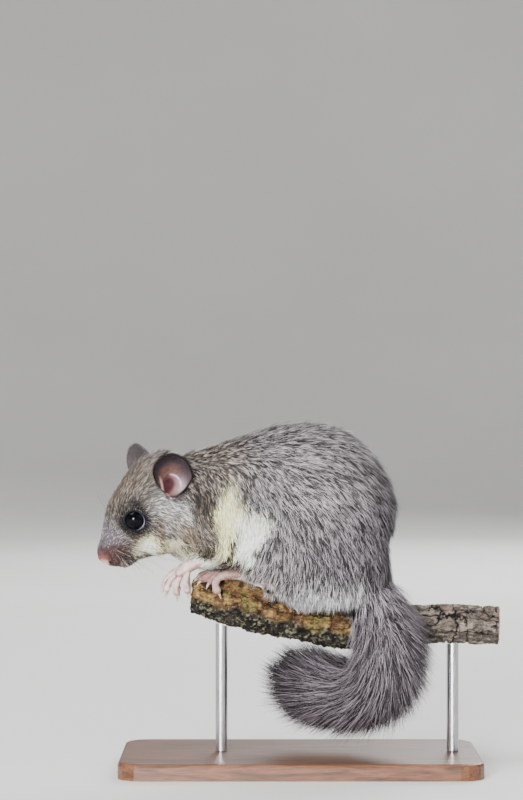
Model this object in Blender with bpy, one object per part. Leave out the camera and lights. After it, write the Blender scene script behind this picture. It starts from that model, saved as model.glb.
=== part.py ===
"""An edible dormouse crouched on a cut length of branch, held up by a plain display stand.

Units are metres with +Z up. The animal faces -X and its left side is towards -Y. The origin is
the middle of the stand's underside. Sizes and stations below are written in millimetres.
"""

import math
import random

import bmesh
import bpy
import numpy as np
from mathutils import Matrix, Vector, noise

MM = 0.001
GAP = 0.3

# Stand
BASE_LENGTH = 132.0
BASE_WIDTH = 74.0
BASE_HEIGHT = 6.0
BASE_CORNER = 9.0
BASE_EDGE = 1.2
ROD_RADIUS = 2.2
ROD_FRONT_X = -29.0
ROD_REAR_X = 56.5
ROD_SIDES = 20

# Head pose: the neck joint, and how the head is turned, lowered and tipped
HEAD_PIVOT = (-49.3, 0.0, 99.6)
HEAD_YAW = math.radians(20)
HEAD_PITCH = math.radians(40)
HEAD_ROLL = math.radians(6)

# Eye
EYE_RADIUS = 4.3
EYE_FORWARD = 15.9
EYE_HEIGHT = 4.9
EYE_OUT = 7.4
LID_RADIUS = 4.4
LID_OFFSET = 1.5
LID_THICKNESS = 0.62

# Ear
EAR_HALF_WIDTH = 7.2
EAR_HALF_HEIGHT = 8.3
EAR_DEPTH = 4.4
EAR_WALL = 0.9

# Tail
TAIL_CORE = 7.4
TAIL_COAT = 16.6
TAIL_CUTS = (0.0, 0.37, 0.7, 1.0)
LOCK_WIDTH = 5.4
LOCK_THICKNESS = 1.7
LOCK_ROWS = 16
LOCKS_ROUND = 12
# How far each stretch of a lock turns from straight out to along the tail
LOCK_LEAN = (0.40, 0.72, 0.95)
# How much of its width and thickness a lock has at the start of each stretch
LOCK_TAPER = (0.8, 1.0, 0.75)
LOCK_SEED = 7
# The gap round the locks of the length before: wider than the rest, as thinning moves lock edges
TAIL_GAP = 0.5

# Stations of (x, y, z, reach above, reach below, half width)
TRUNK = [
    (-53, 0, 96.5, 13, 18, 12.5),
    (-44, 0, 98.5, 17.5, 23.5, 14.5),
    (-34, 0, 98.5, 21, 24.5, 17),
    (-22, 0, 98, 25.5, 25, 20),
    (-9, 0, 97, 30.5, 29, 22.5),
    (3, 0, 94, 33.5, 33.5, 23.5),
    (13, 0, 87, 27, 33, 23.5),
    (18.5, 0, 77, 15, 25, 20),
    (22, 0, 68, 10.5, 15, 14),
    (24, 0, 61, 5, 6, 7),
]
HAUNCH = [
    (24, -9.5, 66, 8, 12, 7),
    (15, -13.3, 73, 15, 24, 10.6),
    (2, -14.2, 78, 18, 21.5, 11),
    (-10, -14.5, 80, 13, 13, 9.5),
    (-20, -14.5, 78.5, 7.5, 7, 7),
]
UPPER_ARM = [
    (-37, -9, 102, 8, 8, 6),
    (-34, -12, 92, 7.5, 7.5, 6),
    (-29.5, -13.5, 84.5, 6.8, 6.2, 5.3),
    (-26, -13.5, 80.5, 4.6, 4.4, 4.4),
]
FOREARM = [
    (-23, -13.5, 80.5, 3.6, 3.8, 3.8),
    (-29, -13, 79.0, 3.8, 3.8, 3.9),
    (-34, -12, 77.6, 3.2, 3.1, 3.5),
    (-38.5, -11, 76.4, 2.4, 2.5, 2.9),
]
# The head's stations run from the nape to the nose tip, before the head is posed
HEAD = [
    (12, 0, 2, 13, 14, 12.5),
    (6, 0, 1, 15.8, 15.2, 13.8),
    (-1, 0, 0.5, 16.6, 15.6, 14.2),
    (-8, 0, 0, 16.2, 15.2, 12.9),
    (-13.5, 0, 0, 15.0, 14.8, 11.2),
    (-18, 0, -0.2, 13.2, 13.2, 9.6),
    (-22.5, 0, -0.8, 10.3, 10.6, 8.1),
    (-27, 0, -1.2, 7.5, 7.6, 6.7),
    (-30.2, 0, -0.9, 5.3, 5.2, 5.3),
    (-32.4, 0, -0.5, 3.5, 3.3, 3.7),
    (-33.4, 0, -0.3, 1.9, 1.9, 2.2),
]
# The tail's centreline: over the near side of the branch, then round under it
TAIL = [
    (20, 0, 75),
    (25, -4, 68),
    (29, -11, 59),
    (32, -15.5, 47.5),
    (31.5, -13.5, 37.5),
    (26, -8.5, 30),
    (16.5, -2, 27.8),
    (7, 4, 29),
    (0, 8, 31),
]
# The perch's centreline and radius, from its broken end to its sawn end
PERCH = [
    (-41.5, 0.3, 64.2, 5.6),
    (-36, -0.3, 62.9, 7.1),
    (-28, 0, 60.6, 7.6),
    (-14, 0.5, 57.3, 7.9),
    (0, 0.5, 53.8, 7.4),
    (16, 1, 51, 7.4),
    (34, 1.5, 52, 7.6),
    (50, 1.5, 53.2, 7.5),
    (62, 1.0, 52.9, 7.4),
    (74, 0.5, 52.4, 7.6),
]

# How far the lower edge of the broken end lies behind the upper one
BREAK_SLANT = 4.0

COLOURS = {
    "coat": (0.26, 0.23, 0.20, 0.85, 0.0),
    "cream": (0.72, 0.68, 0.55, 0.85, 0.0),
    "skin": (0.70, 0.47, 0.42, 0.6, 0.0),
    "ear": (0.36, 0.24, 0.22, 0.6, 0.0),
    "eye": (0.01, 0.01, 0.012, 0.08, 0.0),
    "bark": (0.36, 0.25, 0.13, 0.9, 0.0),
    "wood": (0.30, 0.18, 0.10, 0.45, 0.0),
    "steel": (0.55, 0.55, 0.56, 0.3, 1.0),
}


def clear_scene():
    for old in list(bpy.data.objects):
        bpy.data.objects.remove(old)


def material(name):
    """The named Principled material, made once."""
    made = bpy.data.materials.get(name)
    if made is None:
        red, green, blue, roughness, metallic = COLOURS[name]
        made = bpy.data.materials.new(name)
        made.use_nodes = True
        shader = made.node_tree.nodes["Principled BSDF"]
        shader.inputs["Base Color"].default_value = (red, green, blue, 1)
        shader.inputs["Roughness"].default_value = roughness
        shader.inputs["Metallic"].default_value = metallic
    return made


def object_of(name, points, faces):
    """A mesh object from points in millimetres, with its faces pointing out."""
    mesh = bpy.data.meshes.new(name)
    mesh.from_pydata([Vector(p) * MM for p in points], [], faces)
    body = bmesh.new()
    body.from_mesh(mesh)
    bmesh.ops.recalc_face_normals(body, faces=body.faces)
    body.to_mesh(mesh)
    body.free()
    made = bpy.data.objects.new(name, mesh)
    bpy.context.scene.collection.objects.link(made)
    return made


def copy_of(obj):
    made = obj.copy()
    made.data = obj.data.copy()
    bpy.context.scene.collection.objects.link(made)
    return made


def discard(*objects):
    for obj in objects:
        bpy.data.objects.remove(obj)


def finish(obj, name, finish_name):
    """Names the node, gives it its material and shades it smooth."""
    obj.name = name
    obj.data.materials.clear()
    obj.data.materials.append(material(finish_name))
    obj.data.shade_smooth()
    obj.data.set_sharp_from_angle(angle=math.radians(50))
    return obj


def apply_modifiers(obj):
    bpy.context.view_layer.update()
    graph = bpy.context.evaluated_depsgraph_get()
    baked = bpy.data.meshes.new_from_object(obj.evaluated_get(graph))
    obj.modifiers.clear()
    obj.data = baked
    return obj


def combine(obj, others, operation, solver="MANIFOLD"):
    """One Boolean of obj with a collection of closed objects, which are then removed."""
    group = bpy.data.collections.new("operands")
    for other in others:
        group.objects.link(other)
    modifier = obj.modifiers.new("combine", "BOOLEAN")
    modifier.operation = operation
    modifier.operand_type = "COLLECTION"
    modifier.collection = group
    modifier.solver = solver
    apply_modifiers(obj)
    discard(*others)
    bpy.data.collections.remove(group)
    return obj


def union(obj, others):
    return combine(obj, others, "UNION")


def carve(obj, others):
    return keep_largest(combine(obj, others, "DIFFERENCE"))


def common(obj, other):
    return keep_largest(combine(obj, [other], "INTERSECT"))


def signed_volume(faces):
    total = 0.0
    for face in faces:
        a = face.verts[0].co
        for b, c in zip(face.verts[1:], face.verts[2:]):
            total += a.dot(b.co.cross(c.co))
    return total / 6


def keep_largest(obj):
    """Keeps only the largest closed surface of the object."""
    body = bmesh.new()
    body.from_mesh(obj.data)
    unseen = set(body.faces)
    shells = []
    while unseen:
        shell = []
        queue = [unseen.pop()]
        while queue:
            face = queue.pop()
            shell.append(face)
            for edge in face.edges:
                for near in edge.link_faces:
                    if near in unseen:
                        unseen.remove(near)
                        queue.append(near)
        shells.append(shell)
    shells.sort(key=lambda shell: -abs(signed_volume(shell)))
    for shell in shells[1:]:
        bmesh.ops.delete(body, geom=shell, context="FACES")
    loose = [v for v in body.verts if not v.link_faces]
    bmesh.ops.delete(body, geom=loose, context="VERTS")
    body.to_mesh(obj.data)
    body.free()
    return obj


def swollen(obj, amount=GAP):
    """A copy of obj, grown along its vertex normals by this many millimetres."""
    made = copy_of(obj)
    modifier = made.modifiers.new("swell", "DISPLACE")
    modifier.strength = amount * MM
    modifier.mid_level = 0
    return apply_modifiers(made)


def fused(obj, voxel, rounds, factor=0.5):
    """Obj remeshed at this voxel size in millimetres and smoothed."""
    remesh = obj.modifiers.new("fuse", "REMESH")
    remesh.mode = "VOXEL"
    remesh.voxel_size = voxel * MM
    smooth = obj.modifiers.new("smooth", "SMOOTH")
    smooth.factor = factor
    smooth.iterations = rounds
    return apply_modifiers(obj)


def thinned(obj, triangles):
    """Obj collapsed to about this many triangles."""
    count = sum(len(face.vertices) - 2 for face in obj.data.polygons)
    decimate = obj.modifiers.new("thin", "DECIMATE")
    decimate.ratio = min(1.0, triangles / count)
    decimate.use_collapse_triangulate = True
    apply_modifiers(obj)
    body = bmesh.new()
    body.from_mesh(obj.data)
    flaps = [f for f in body.faces if any(len(e.link_faces) == 1 for e in f.edges)]
    bmesh.ops.delete(body, geom=flaps, context="FACES")
    body.to_mesh(obj.data)
    body.free()
    return obj


def spline(rows, count):
    """The rows read at even steps along a Catmull-Rom curve through them."""
    rows = np.asarray(rows, float)
    padded = np.vstack([2 * rows[0] - rows[1], rows, 2 * rows[-1] - rows[-2]])
    read = []
    for step in np.linspace(0, len(rows) - 1, count):
        i = min(int(step), len(rows) - 2)
        t = step - i
        a, b, c, d = padded[i : i + 4]
        curve = 2 * b + (c - a) * t + (2 * a - 5 * b + 4 * c - d) * t**2
        read.append(0.5 * (curve + (3 * b - a - 3 * c + d) * t**3))
    return np.array(read)


def unit(vectors):
    return vectors / np.linalg.norm(vectors, axis=-1, keepdims=True)


def frames(centres, side):
    """Tangent, side and up directions at each centre of a path."""
    tangent = unit(np.gradient(centres, axis=0))
    side = np.array(side, float) - tangent * (tangent @ np.array(side, float))[:, None]
    side = unit(side)
    return tangent, side, np.cross(tangent, side)


def loft(name, rows, side=(0, 1, 0), rings=20, sides=20, turn=None):
    """A closed body through stations of (x, y, z, reach above, reach below, half width)."""
    path = spline(rows, rings)
    centres = path[:, :3]
    above, below, width = np.maximum(path[:, 3:], 0.3).T
    tangent, across, up = frames(centres, side)
    points = []
    for i in range(rings):
        for k in range(sides):
            angle = 2 * math.pi * k / sides
            reach = above[i] if math.sin(angle) > 0 else below[i]
            offset = across[i] * width[i] * math.cos(angle) + up[i] * reach * math.sin(angle)
            points.append(centres[i] + offset)
    faces = []
    for i in range(rings - 1):
        for k in range(sides):
            n = (k + 1) % sides
            faces.append((i * sides + k, i * sides + n, (i + 1) * sides + n, (i + 1) * sides + k))
    for ring, way in ((0, -1), (rings - 1, 1)):
        pole = len(points)
        dome = 0.5 * min(width[ring], above[ring])
        points.append(centres[ring] + way * tangent[ring] * dome)
        for k in range(sides):
            faces.append((ring * sides + k, ring * sides + (k + 1) % sides, pole))
    if turn is not None:
        points = [turn @ Vector(p) for p in points]
    return object_of(name, points, faces)


def round_rows(points, radii):
    """Stations of a round body from its centres and radii."""
    return [(*p, r, r, r) for p, r in zip(points, radii)]


def mirrored(rows):
    return [(row[0], -row[1], *row[2:]) for row in rows]


def ellipsoid(name, centre, radii, turn=None, detail=3):
    body = bmesh.new()
    bmesh.ops.create_icosphere(body, subdivisions=detail, radius=1)
    place = Matrix.Translation(centre) @ Matrix.Diagonal((*radii, 1))
    if turn is not None:
        place = turn @ place
    points = [place @ v.co for v in body.verts]
    faces = [tuple(v.index for v in f.verts) for f in body.faces]
    body.free()
    return object_of(name, points, faces)


def block(name, low, high, turn=None):
    """A box between two corners, for cutting."""
    low, high = Vector(low), Vector(high)
    centre = (low + high) / 2
    size = (high - low) / 2
    place = Matrix.Translation(centre) @ Matrix.Diagonal((*size, 1))
    if turn is not None:
        place = turn @ place
    corners = [(x, y, z) for x in (-1, 1) for y in (-1, 1) for z in (-1, 1)]
    faces = [(0, 1, 3, 2), (4, 6, 7, 5), (0, 4, 5, 1), (2, 3, 7, 6), (0, 2, 6, 4), (1, 5, 7, 3)]
    return object_of(name, [place @ Vector(c) for c in corners], faces)


def ahead_of(point, normal, gap=GAP / 2, reach=120.0):
    """A cutting block that fills the side of a plane that its normal points to, and half a gap."""
    turn = Vector(normal).to_track_quat("X", "Z").to_matrix().to_4x4()
    turn = Matrix.Translation(point) @ turn
    return block("cutter", (-gap, -reach, -reach), (2 * reach, reach, reach), turn)


HEAD_PLACE = (
    Matrix.Translation(HEAD_PIVOT)
    @ Matrix.Rotation(HEAD_YAW, 4, "Z")
    @ Matrix.Rotation(-HEAD_PITCH, 4, "Y")
    @ Matrix.Rotation(HEAD_ROLL, 4, "X")
)


def flesh_body():
    """Trunk, neck, head, haunches and arms as one smooth closed form."""
    whole = loft("flesh", TRUNK, rings=30, sides=28)
    parts = []
    for _, rows, _ in LIMBS:
        for side_rows in (rows, mirrored(rows)):
            parts.append(loft("limb", side_rows, rings=14, sides=18))
    parts.append(loft("head", HEAD, side=(0, -1, 0), rings=26, sides=26, turn=HEAD_PLACE))
    for way in (-1, 1):
        cheek = ellipsoid("cheek", (-11, way * 7.2, -7.2), (8.5, 6.0, 6.8), HEAD_PLACE)
        pad = ellipsoid("pad", (-27.4, way * 3.9, -2.6), (4.6, 3.6, 3.7), HEAD_PLACE)
        parts += [cheek, pad]
    parts.append(ellipsoid("chin", (-24.6, 0, -7.0), (5.2, 3.9, 3.4), HEAD_PLACE))
    union(whole, parts)
    return fused(whole, voxel=0.75, rounds=9)


def eye_centre(way):
    """The middle of the eyeball; way is -1 for the left eye and 1 for the right."""
    return Vector((-EYE_FORWARD, way * EYE_OUT, EYE_HEIGHT))


def eye_axis(way):
    return Vector((-0.36, way * 0.92, 0.12)).normalized()


def lid_ring(way):
    """The lids as a ring on the head round the eyeball."""
    turn = eye_axis(way).to_track_quat("Z", "X").to_matrix().to_4x4()
    place = HEAD_PLACE @ Matrix.Translation(eye_centre(way)) @ turn
    around, across = 22, 7
    points, faces = [], []
    for i in range(around):
        a = 2 * math.pi * i / around
        for k in range(across):
            b = 2 * math.pi * k / across
            radius = LID_RADIUS + LID_THICKNESS * math.cos(b)
            height = LID_OFFSET + LID_THICKNESS * math.sin(b)
            points.append(place @ Vector((radius * math.cos(a), radius * math.sin(a), height)))
            n, m = (i + 1) % around, (k + 1) % across
            faces.append((i * across + k, n * across + k, n * across + m, i * across + m))
    return object_of("lids", points, faces)


def mouth_cutters():
    """The groove between the lips, the cleft under the nose, and the nostrils."""
    cut = []
    for way in (-1, 1):
        line = [
            (-32.8, way * 0.3, -3.6),
            (-31.0, way * 2.7, -4.9),
            (-27.5, way * 5.0, -6.2),
            (-23.0, way * 6.9, -7.2),
            (-20.5, way * 8.2, -7.4),
        ]
        rows = round_rows(line, (0.35, 0.45, 0.55, 0.55, 0.35))
        cut.append(loft("lip_line", rows, rings=9, sides=6, turn=HEAD_PLACE))
        nostril = [(-34.6, way * 1.0, -0.2), (-33.6, way * 1.35, -0.1), (-32.7, way * 1.9, 0.3)]
        rows = round_rows(nostril, (0.35, 0.55, 0.4))
        cut.append(loft("nostril", rows, rings=5, sides=6, turn=HEAD_PLACE))
    cleft = round_rows([(-34.1, 0, -0.9), (-33.7, 0, -2.3), (-32.8, 0, -3.8)], (0.3, 0.35, 0.35))
    cut.append(loft("cleft", cleft, rings=4, sides=6, turn=HEAD_PLACE))
    return cut


def make_eyes():
    eyes = []
    for way, side in ((-1, "left"), (1, "right")):
        ball = ellipsoid("eye", eye_centre(way), (EYE_RADIUS,) * 3, HEAD_PLACE)
        eyes.append(finish(ball, f"eye_{side}", "eye"))
    return eyes


def make_head(head):
    """The head with its lids, lips, nostrils and sockets."""
    nose = ellipsoid("nose", (-32.4, 0, -0.4), (1.9, 2.4, 2.1), HEAD_PLACE, detail=2)
    union(head, [nose, lid_ring(-1), lid_ring(1)])
    sockets = [
        ellipsoid("socket", eye_centre(way), (EYE_RADIUS + GAP,) * 3, HEAD_PLACE)
        for way in (-1, 1)
    ]
    carve(head, mouth_cutters() + sockets)
    thinned(head, COUNTS["head"])
    return finish(head, "head", "coat")


def make_ear(way, keep_clear):
    """A thin rounded cup, open outwards and forwards, with its foot set on the head."""
    tip = Vector((9.1, way * 4.7, 13.6)).normalized()
    opening = Vector((-0.66, way * 0.75, -0.06))
    opening = (opening - tip * opening.dot(tip)).normalized()
    across = tip.cross(opening)
    centre = Vector((3.6, way * 17.0, 11.6))
    rings, sides = 5, 20
    faces = []
    points = [centre - opening * EAR_DEPTH, centre - opening * (EAR_DEPTH + EAR_WALL)]
    for wall in (0, 1):
        for i in range(1, rings + 1):
            reach = i / rings
            bowl = EAR_DEPTH * (1 - reach**2.2)
            for k in range(sides):
                a = 2 * math.pi * k / sides
                height = math.sin(a)
                narrow = 1 - 0.52 * max(0.0, -height) ** 1.3
                lip = 0.8 * max(0.0, -height) * reach**3
                wide = EAR_HALF_WIDTH * narrow * math.cos(a) * reach
                tall = EAR_HALF_HEIGHT * height * reach
                grown = wall * EAR_WALL * (1 - 0.35 * reach)
                spread = 1 + grown * 0.4 / EAR_HALF_WIDTH * reach
                points.append(
                    centre
                    + across * wide * spread
                    + tip * tall * spread
                    - opening * (bowl - lip + grown)
                )
    for wall in (0, 1):
        start = 2 + wall * rings * sides
        for k in range(sides):
            faces.append((wall, start + k, start + (k + 1) % sides))
        for i in range(rings - 1):
            for k in range(sides):
                n = (k + 1) % sides
                a, b = start + i * sides, start + (i + 1) * sides
                faces.append((a + k, a + n, b + n, b + k))
    inner = 2 + (rings - 1) * sides
    outer = inner + rings * sides
    for k in range(sides):
        n = (k + 1) % sides
        faces.append((inner + k, inner + n, outer + n, outer + k))
    cup = object_of("ear", [HEAD_PLACE @ p for p in points], faces)
    back = centre - opening * (EAR_DEPTH + 1.2)
    root = [(0, way * 9.5, 3.0), back - tip * 4.6 + opening * 0.3, back + tip * 0.5]
    rows = [(*p, r, r, r) for p, r in zip(root, (3.4, 1.9, 0.8))]
    union(cup, [loft("root", rows, rings=5, sides=9, turn=HEAD_PLACE)])
    carve(cup, [swollen(other) for other in keep_clear])
    thinned(cup, COUNTS["ear"])
    return finish(cup, "ear_left" if way < 0 else "ear_right", "ear")


def toe(points, radius):
    """A toe with its joints and end pad."""
    radii = (radius * 1.05, radius, radius * 0.86, radius * 1.05, radius * 0.6)
    path = spline(points, len(radii))
    return loft("toe", round_rows(path, radii), rings=9, sides=9)


def claw(points, length):
    """A thin hooked claw on the end of a toe."""
    before, end = Vector(points[-2]), Vector(points[-1])
    ahead = (end - before).normalized()
    down = (ahead + Vector((0, 0, -0.9))).normalized()
    hook = [end - ahead * 0.6, end + ahead * length * 0.4, end + (ahead + down) * length * 0.5]
    return loft("claw", round_rows(hook, (0.48, 0.38, 0.12)), rings=4, sides=5)


def make_paw(name, palm, digits, claw_length, way, keep_clear):
    """A paw of one palm and its digits, each with its own radius, cut clear of what it meets."""
    rows = palm if way < 0 else mirrored(palm)
    digits = [(radius, points if way < 0 else mirrored(points)) for radius, points in digits]
    paw = loft(name, rows, rings=12, sides=14)
    union(paw, [toe(points, radius) for radius, points in digits])
    fused(paw, voxel=0.32, rounds=3)
    thinned(paw, COUNTS[name.rsplit("_", 1)[0]])
    union(paw, [claw(points, claw_length) for _, points in digits])
    carve(paw, [swollen(other) for other in keep_clear])
    return finish(paw, name, "skin")


FOREPALM = [
    (-36.4, -11.2, 76.9, 2.2, 2.2, 2.5),
    (-39.5, -10.8, 75.7, 2.2, 2.2, 3.2),
    (-42.8, -10.4, 73.7, 2.0, 2.0, 4.0),
    (-44.6, -10.3, 72.0, 1.4, 1.6, 3.4),
]
FOREDIGITS = [
    (1.1, [(-42.6, -7.4, 73.6), (-46.6, -7.6, 72.4), (-49.4, -8.6, 69.6), (-50.2, -9.4, 67.2)]),
    (1.1, [(-43.6, -9.2, 73.0), (-46.8, -10.2, 70.8), (-48.6, -10.8, 68.0), (-49.0, -10.6, 65.6)]),
    (1.1, [(-43.2, -11.0, 72.6), (-44.9, -12.2, 69.6), (-45.6, -12.0, 66.8), (-45.2, -11.2, 64.4)]),
    (1.1, [(-41.4, -12.6, 72.8), (-41.9, -13.2, 70.2), (-41.7, -12.4, 67.4), (-41.2, -11.4, 65.2)]),
]
HINDPALM = [
    (-4, -12.5, 68.5, 2.6, 2.6, 3.0),
    (-12, -11.5, 70.8, 2.1, 2.1, 2.8),
    (-20, -10.4, 71.9, 1.8, 1.8, 3.0),
    (-26.5, -9.4, 72.0, 1.9, 1.9, 3.4),
    (-29, -9.1, 71.2, 1.4, 1.6, 2.8),
]
HINDDIGITS = [
    (1.2, [(-27.5, -6.6, 71.8), (-30.6, -4.2, 72.4), (-33.2, -2.6, 72.1), (-35.2, -2.0, 71.2)]),
    (1.2, [(-28.0, -7.4, 71.8), (-32.0, -5.8, 72.4), (-35.4, -4.6, 71.6), (-37.8, -4.0, 70.2)]),
    (1.2, [(-28.0, -8.0, 71.8), (-31.8, -7.4, 72.0), (-34.8, -6.8, 71.0), (-36.6, -6.5, 69.4)]),
    (1.25, [(-28.0, -8.8, 71.8), (-30.6, -8.6, 71.4), (-32.6, -7.9, 70.2), (-33.6, -7.3, 68.6)]),
    (1.7, [(-26.4, -10.2, 71.8), (-30.0, -11.0, 70.8), (-31.1, -10.8, 67.8), (-29.8, -9.8, 65.2)]),
]


def perch_body(swell=0.0):
    """The perch: a bent, knotted stick with ridged bark, broken at one end and sawn at the other."""
    rings, sides = 30, 16
    path = spline(PERCH, rings)
    centres = path[:, :3]
    tangent, across, up = frames(centres, (0, 1, 0))
    points = []
    for i in range(rings):
        rough = 0.3 if i == rings - 1 else 1.0
        for k in range(sides):
            a = 2 * math.pi * k / sides
            x = centres[i][0]
            ridge = noise.noise(Vector((x * 0.06, 2.2 * math.cos(a), 2.2 * math.sin(a))))
            lump = noise.noise(Vector((x * 0.22, math.cos(a), math.sin(a) + 9)))
            radius = path[i, 3] * (1 + (0.12 * ridge + 0.10 * lump) * rough) + swell
            way = across[i] * math.cos(a) + up[i] * math.sin(a)
            break_back = 0.0
            if i == 0:
                splinter = noise.noise(Vector((3.1 * math.cos(a), 3.1 * math.sin(a), 4)))
                break_back = BREAK_SLANT * (1 - math.sin(a)) / 2 + 1.6 * splinter
            points.append(centres[i] + way * radius + tangent[i] * (break_back - swell * (i == 0)))
    points.append(centres[0] + tangent[0] * (BREAK_SLANT * 0.5 + 1.2 - swell))
    points.append(centres[-1] + tangent[-1] * swell)
    faces = []
    for ring, pole in ((0, rings * sides), ((rings - 1) * sides, rings * sides + 1)):
        for k in range(sides):
            faces.append((ring + k, ring + (k + 1) % sides, pole))
    for i in range(rings - 1):
        for k in range(sides):
            n = (k + 1) % sides
            faces.append((i * sides + k, i * sides + n, (i + 1) * sides + n, (i + 1) * sides + k))
    perch = object_of("perch", points, faces)
    if swell:
        for v in perch.data.vertices[(rings - 1) * sides : rings * sides]:
            v.co.x += swell * MM
    return perch


def tail_frames(count):
    centres = spline(TAIL, count)
    tangent, across, up = frames(centres, (0.25, 1, 0.1))
    return centres, tangent, across, up


def tail_core_radius(along):
    """The core is thickest near the middle and closes at the tip."""
    grown = 0.90 + 0.10 * math.sin(math.pi * min(1.0, along * 1.4))
    closing = min(1.0, (1.02 - along) / 0.12)
    return TAIL_CORE * grown * math.sqrt(max(0.05, closing))


def tail_coat_reach(along):
    """How far the coat stands from the centreline."""
    grown = 0.90 + 0.10 * math.sin(math.pi * min(1.0, along * 1.35))
    return TAIL_COAT * grown


def lock(root, out, along, width_way, reach, swell):
    """One flat tapered lock, which bends from standing out to lying along the tail."""
    points = [np.array(root)]
    for turn in LOCK_LEAN:
        way = out * math.cos(turn) + along * math.sin(turn)
        points.append(points[-1] + way * reach / len(LOCK_LEAN))
    rows = []
    for i, taper in enumerate(LOCK_TAPER):
        ahead = unit(points[i + 1] - points[max(0, i - 1)])
        flat = unit(width_way - ahead * (width_way @ ahead))
        lift = np.cross(flat, ahead)
        half_width = LOCK_WIDTH * taper / 2 + swell
        half_thick = LOCK_THICKNESS * taper / 2 + swell
        for across, above in ((1, -0.5), (0, 1), (-1, -0.5)):
            rows.append(points[i] + flat * half_width * across + lift * half_thick * above)
    rows.append(points[-1] + unit(points[-1] - points[-2]) * swell)
    faces = [(2, 1, 0)]
    last = 3 * (len(LOCK_TAPER) - 1)
    for ring in range(0, last, 3):
        for k in range(3):
            n = (k + 1) % 3
            faces.append((ring + k, ring + n, ring + 3 + n, ring + 3 + k))
    for k in range(3):
        faces.append((last + k, last + (k + 1) % 3, last + 3))
    return object_of("lock", rows, faces)


def near_perch(point):
    """True where a point is inside the perch or close to its bark."""
    centres = spline(PERCH, 60)
    gaps = np.linalg.norm(centres[:, :3] - point, axis=1) - centres[:, 3]
    return gaps.min() < 0.8


def tail_length(part, swell=0.0):
    """One length of the tail: its share of the core, with the locks rooted in it."""
    start, end = TAIL_CUTS[part], TAIL_CUTS[part + 1]
    count = 200
    centres, tangent, across, up = tail_frames(count)
    margin = 0.0 if part == 0 else 0.004
    rings = 8
    rows = []
    for along in np.linspace(start + margin, end, rings):
        i = min(count - 1, int(round(along * (count - 1))))
        radius = tail_core_radius(along) + swell
        rows.append((*centres[i], radius, radius, radius))
    core = loft("core", rows, side=(0.25, 1, 0.1), rings=rings, sides=12)
    draw = random.Random(LOCK_SEED + part)
    locks = []
    for row in range(LOCK_ROWS):
        middle = (row + 0.7) / (LOCK_ROWS + 0.4)
        if not start <= middle < end:
            continue
        for k in range(LOCKS_ROUND):
            along = middle + draw.uniform(-0.012, 0.012)
            a = 2 * math.pi * (k + 0.5 * (row % 2) + draw.uniform(-0.15, 0.15)) / LOCKS_ROUND
            i = min(count - 1, int(round(along * (count - 1))))
            out = across[i] * math.cos(a) + up[i] * math.sin(a)
            radius = tail_core_radius(along)
            reach = (tail_coat_reach(along) - radius) * draw.uniform(1.25, 1.6) + 2.4
            root = centres[i] + out * (radius - 2.4)
            width_way = np.cross(tangent[i], out)
            if near_perch(root + out * reach * 0.6 + tangent[i] * reach * 0.4):
                continue
            locks.append(lock(root, out, tangent[i], width_way, reach, swell))
    if part == len(TAIL_CUTS) - 2:
        locks += brush(centres[-1], tangent[-1], across[-1], up[-1], draw, swell)
    return union(core, locks)


def brush(end, ahead, across, up, draw, swell):
    """The locks that close the tail's blunt tip."""
    made = []
    for k in range(7):
        a = 2 * math.pi * k / 7 + draw.uniform(-0.2, 0.2)
        out = across * math.cos(a) + up * math.sin(a)
        lie = unit(out * 0.45 + ahead)
        reach = draw.uniform(9, 11)
        made.append(lock(end - ahead * 2.5 + out * 1.2, lie, ahead, np.cross(ahead, out), reach, swell))
    return made


def make_stand(perch):
    """The flat base and the two rods that carry the perch."""
    body = bmesh.new()
    bmesh.ops.create_cube(body, size=1)
    size = Vector((BASE_LENGTH, BASE_WIDTH, BASE_HEIGHT)) * MM
    for v in body.verts:
        v.co = Vector((v.co.x * size.x, v.co.y * size.y, (v.co.z + 0.5) * size.z))
    upright = [e for e in body.edges if abs(e.verts[0].co.z - e.verts[1].co.z) > size.z / 2]
    bmesh.ops.bevel(
        body, geom=upright, offset=BASE_CORNER * MM, segments=5, affect="EDGES", profile=0.5
    )
    top = [
        e
        for e in body.edges
        if all(v.co.z > size.z * 0.99 for v in e.verts) and len(e.link_faces) == 2
        and any(abs(f.normal.z) < 0.5 for f in e.link_faces)
    ]
    bmesh.ops.bevel(
        body, geom=top, offset=BASE_EDGE * MM, segments=2, affect="EDGES", profile=0.5
    )
    mesh = bpy.data.meshes.new("stand_base")
    body.to_mesh(mesh)
    body.free()
    base = bpy.data.objects.new("stand_base", mesh)
    bpy.context.scene.collection.objects.link(base)
    finish(base, "stand_base", "wood")
    for name, x in (("stand_rod_front", ROD_FRONT_X), ("stand_rod_rear", ROD_REAR_X)):
        height = float(np.interp(x, spline(PERCH, 60)[:, 0], spline(PERCH, 60)[:, 2]))
        foot = BASE_HEIGHT + GAP
        points = [
            (x + ROD_RADIUS * math.cos(2 * math.pi * k / ROD_SIDES),
             ROD_RADIUS * math.sin(2 * math.pi * k / ROD_SIDES), z)
            for z in (foot, height)
            for k in range(ROD_SIDES)
        ]
        faces = [tuple(range(ROD_SIDES)), tuple(range(ROD_SIDES, 2 * ROD_SIDES))]
        for k in range(ROD_SIDES):
            n = (k + 1) % ROD_SIDES
            faces.append((k, n, ROD_SIDES + n, ROD_SIDES + k))
        rod = object_of(name, points, faces)
        carve(rod, [swollen(perch)])
        finish(rod, name, "steel")


# Each limb's stations, and how far its share of the flesh reaches past them
LIMBS = (("forearm", FOREARM, 1.2), ("upper_arm", UPPER_ARM, 1.4), ("haunch", HAUNCH, 1.6))
LIMB_FINISH = {"forearm": "cream", "upper_arm": "coat", "haunch": "coat"}
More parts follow.
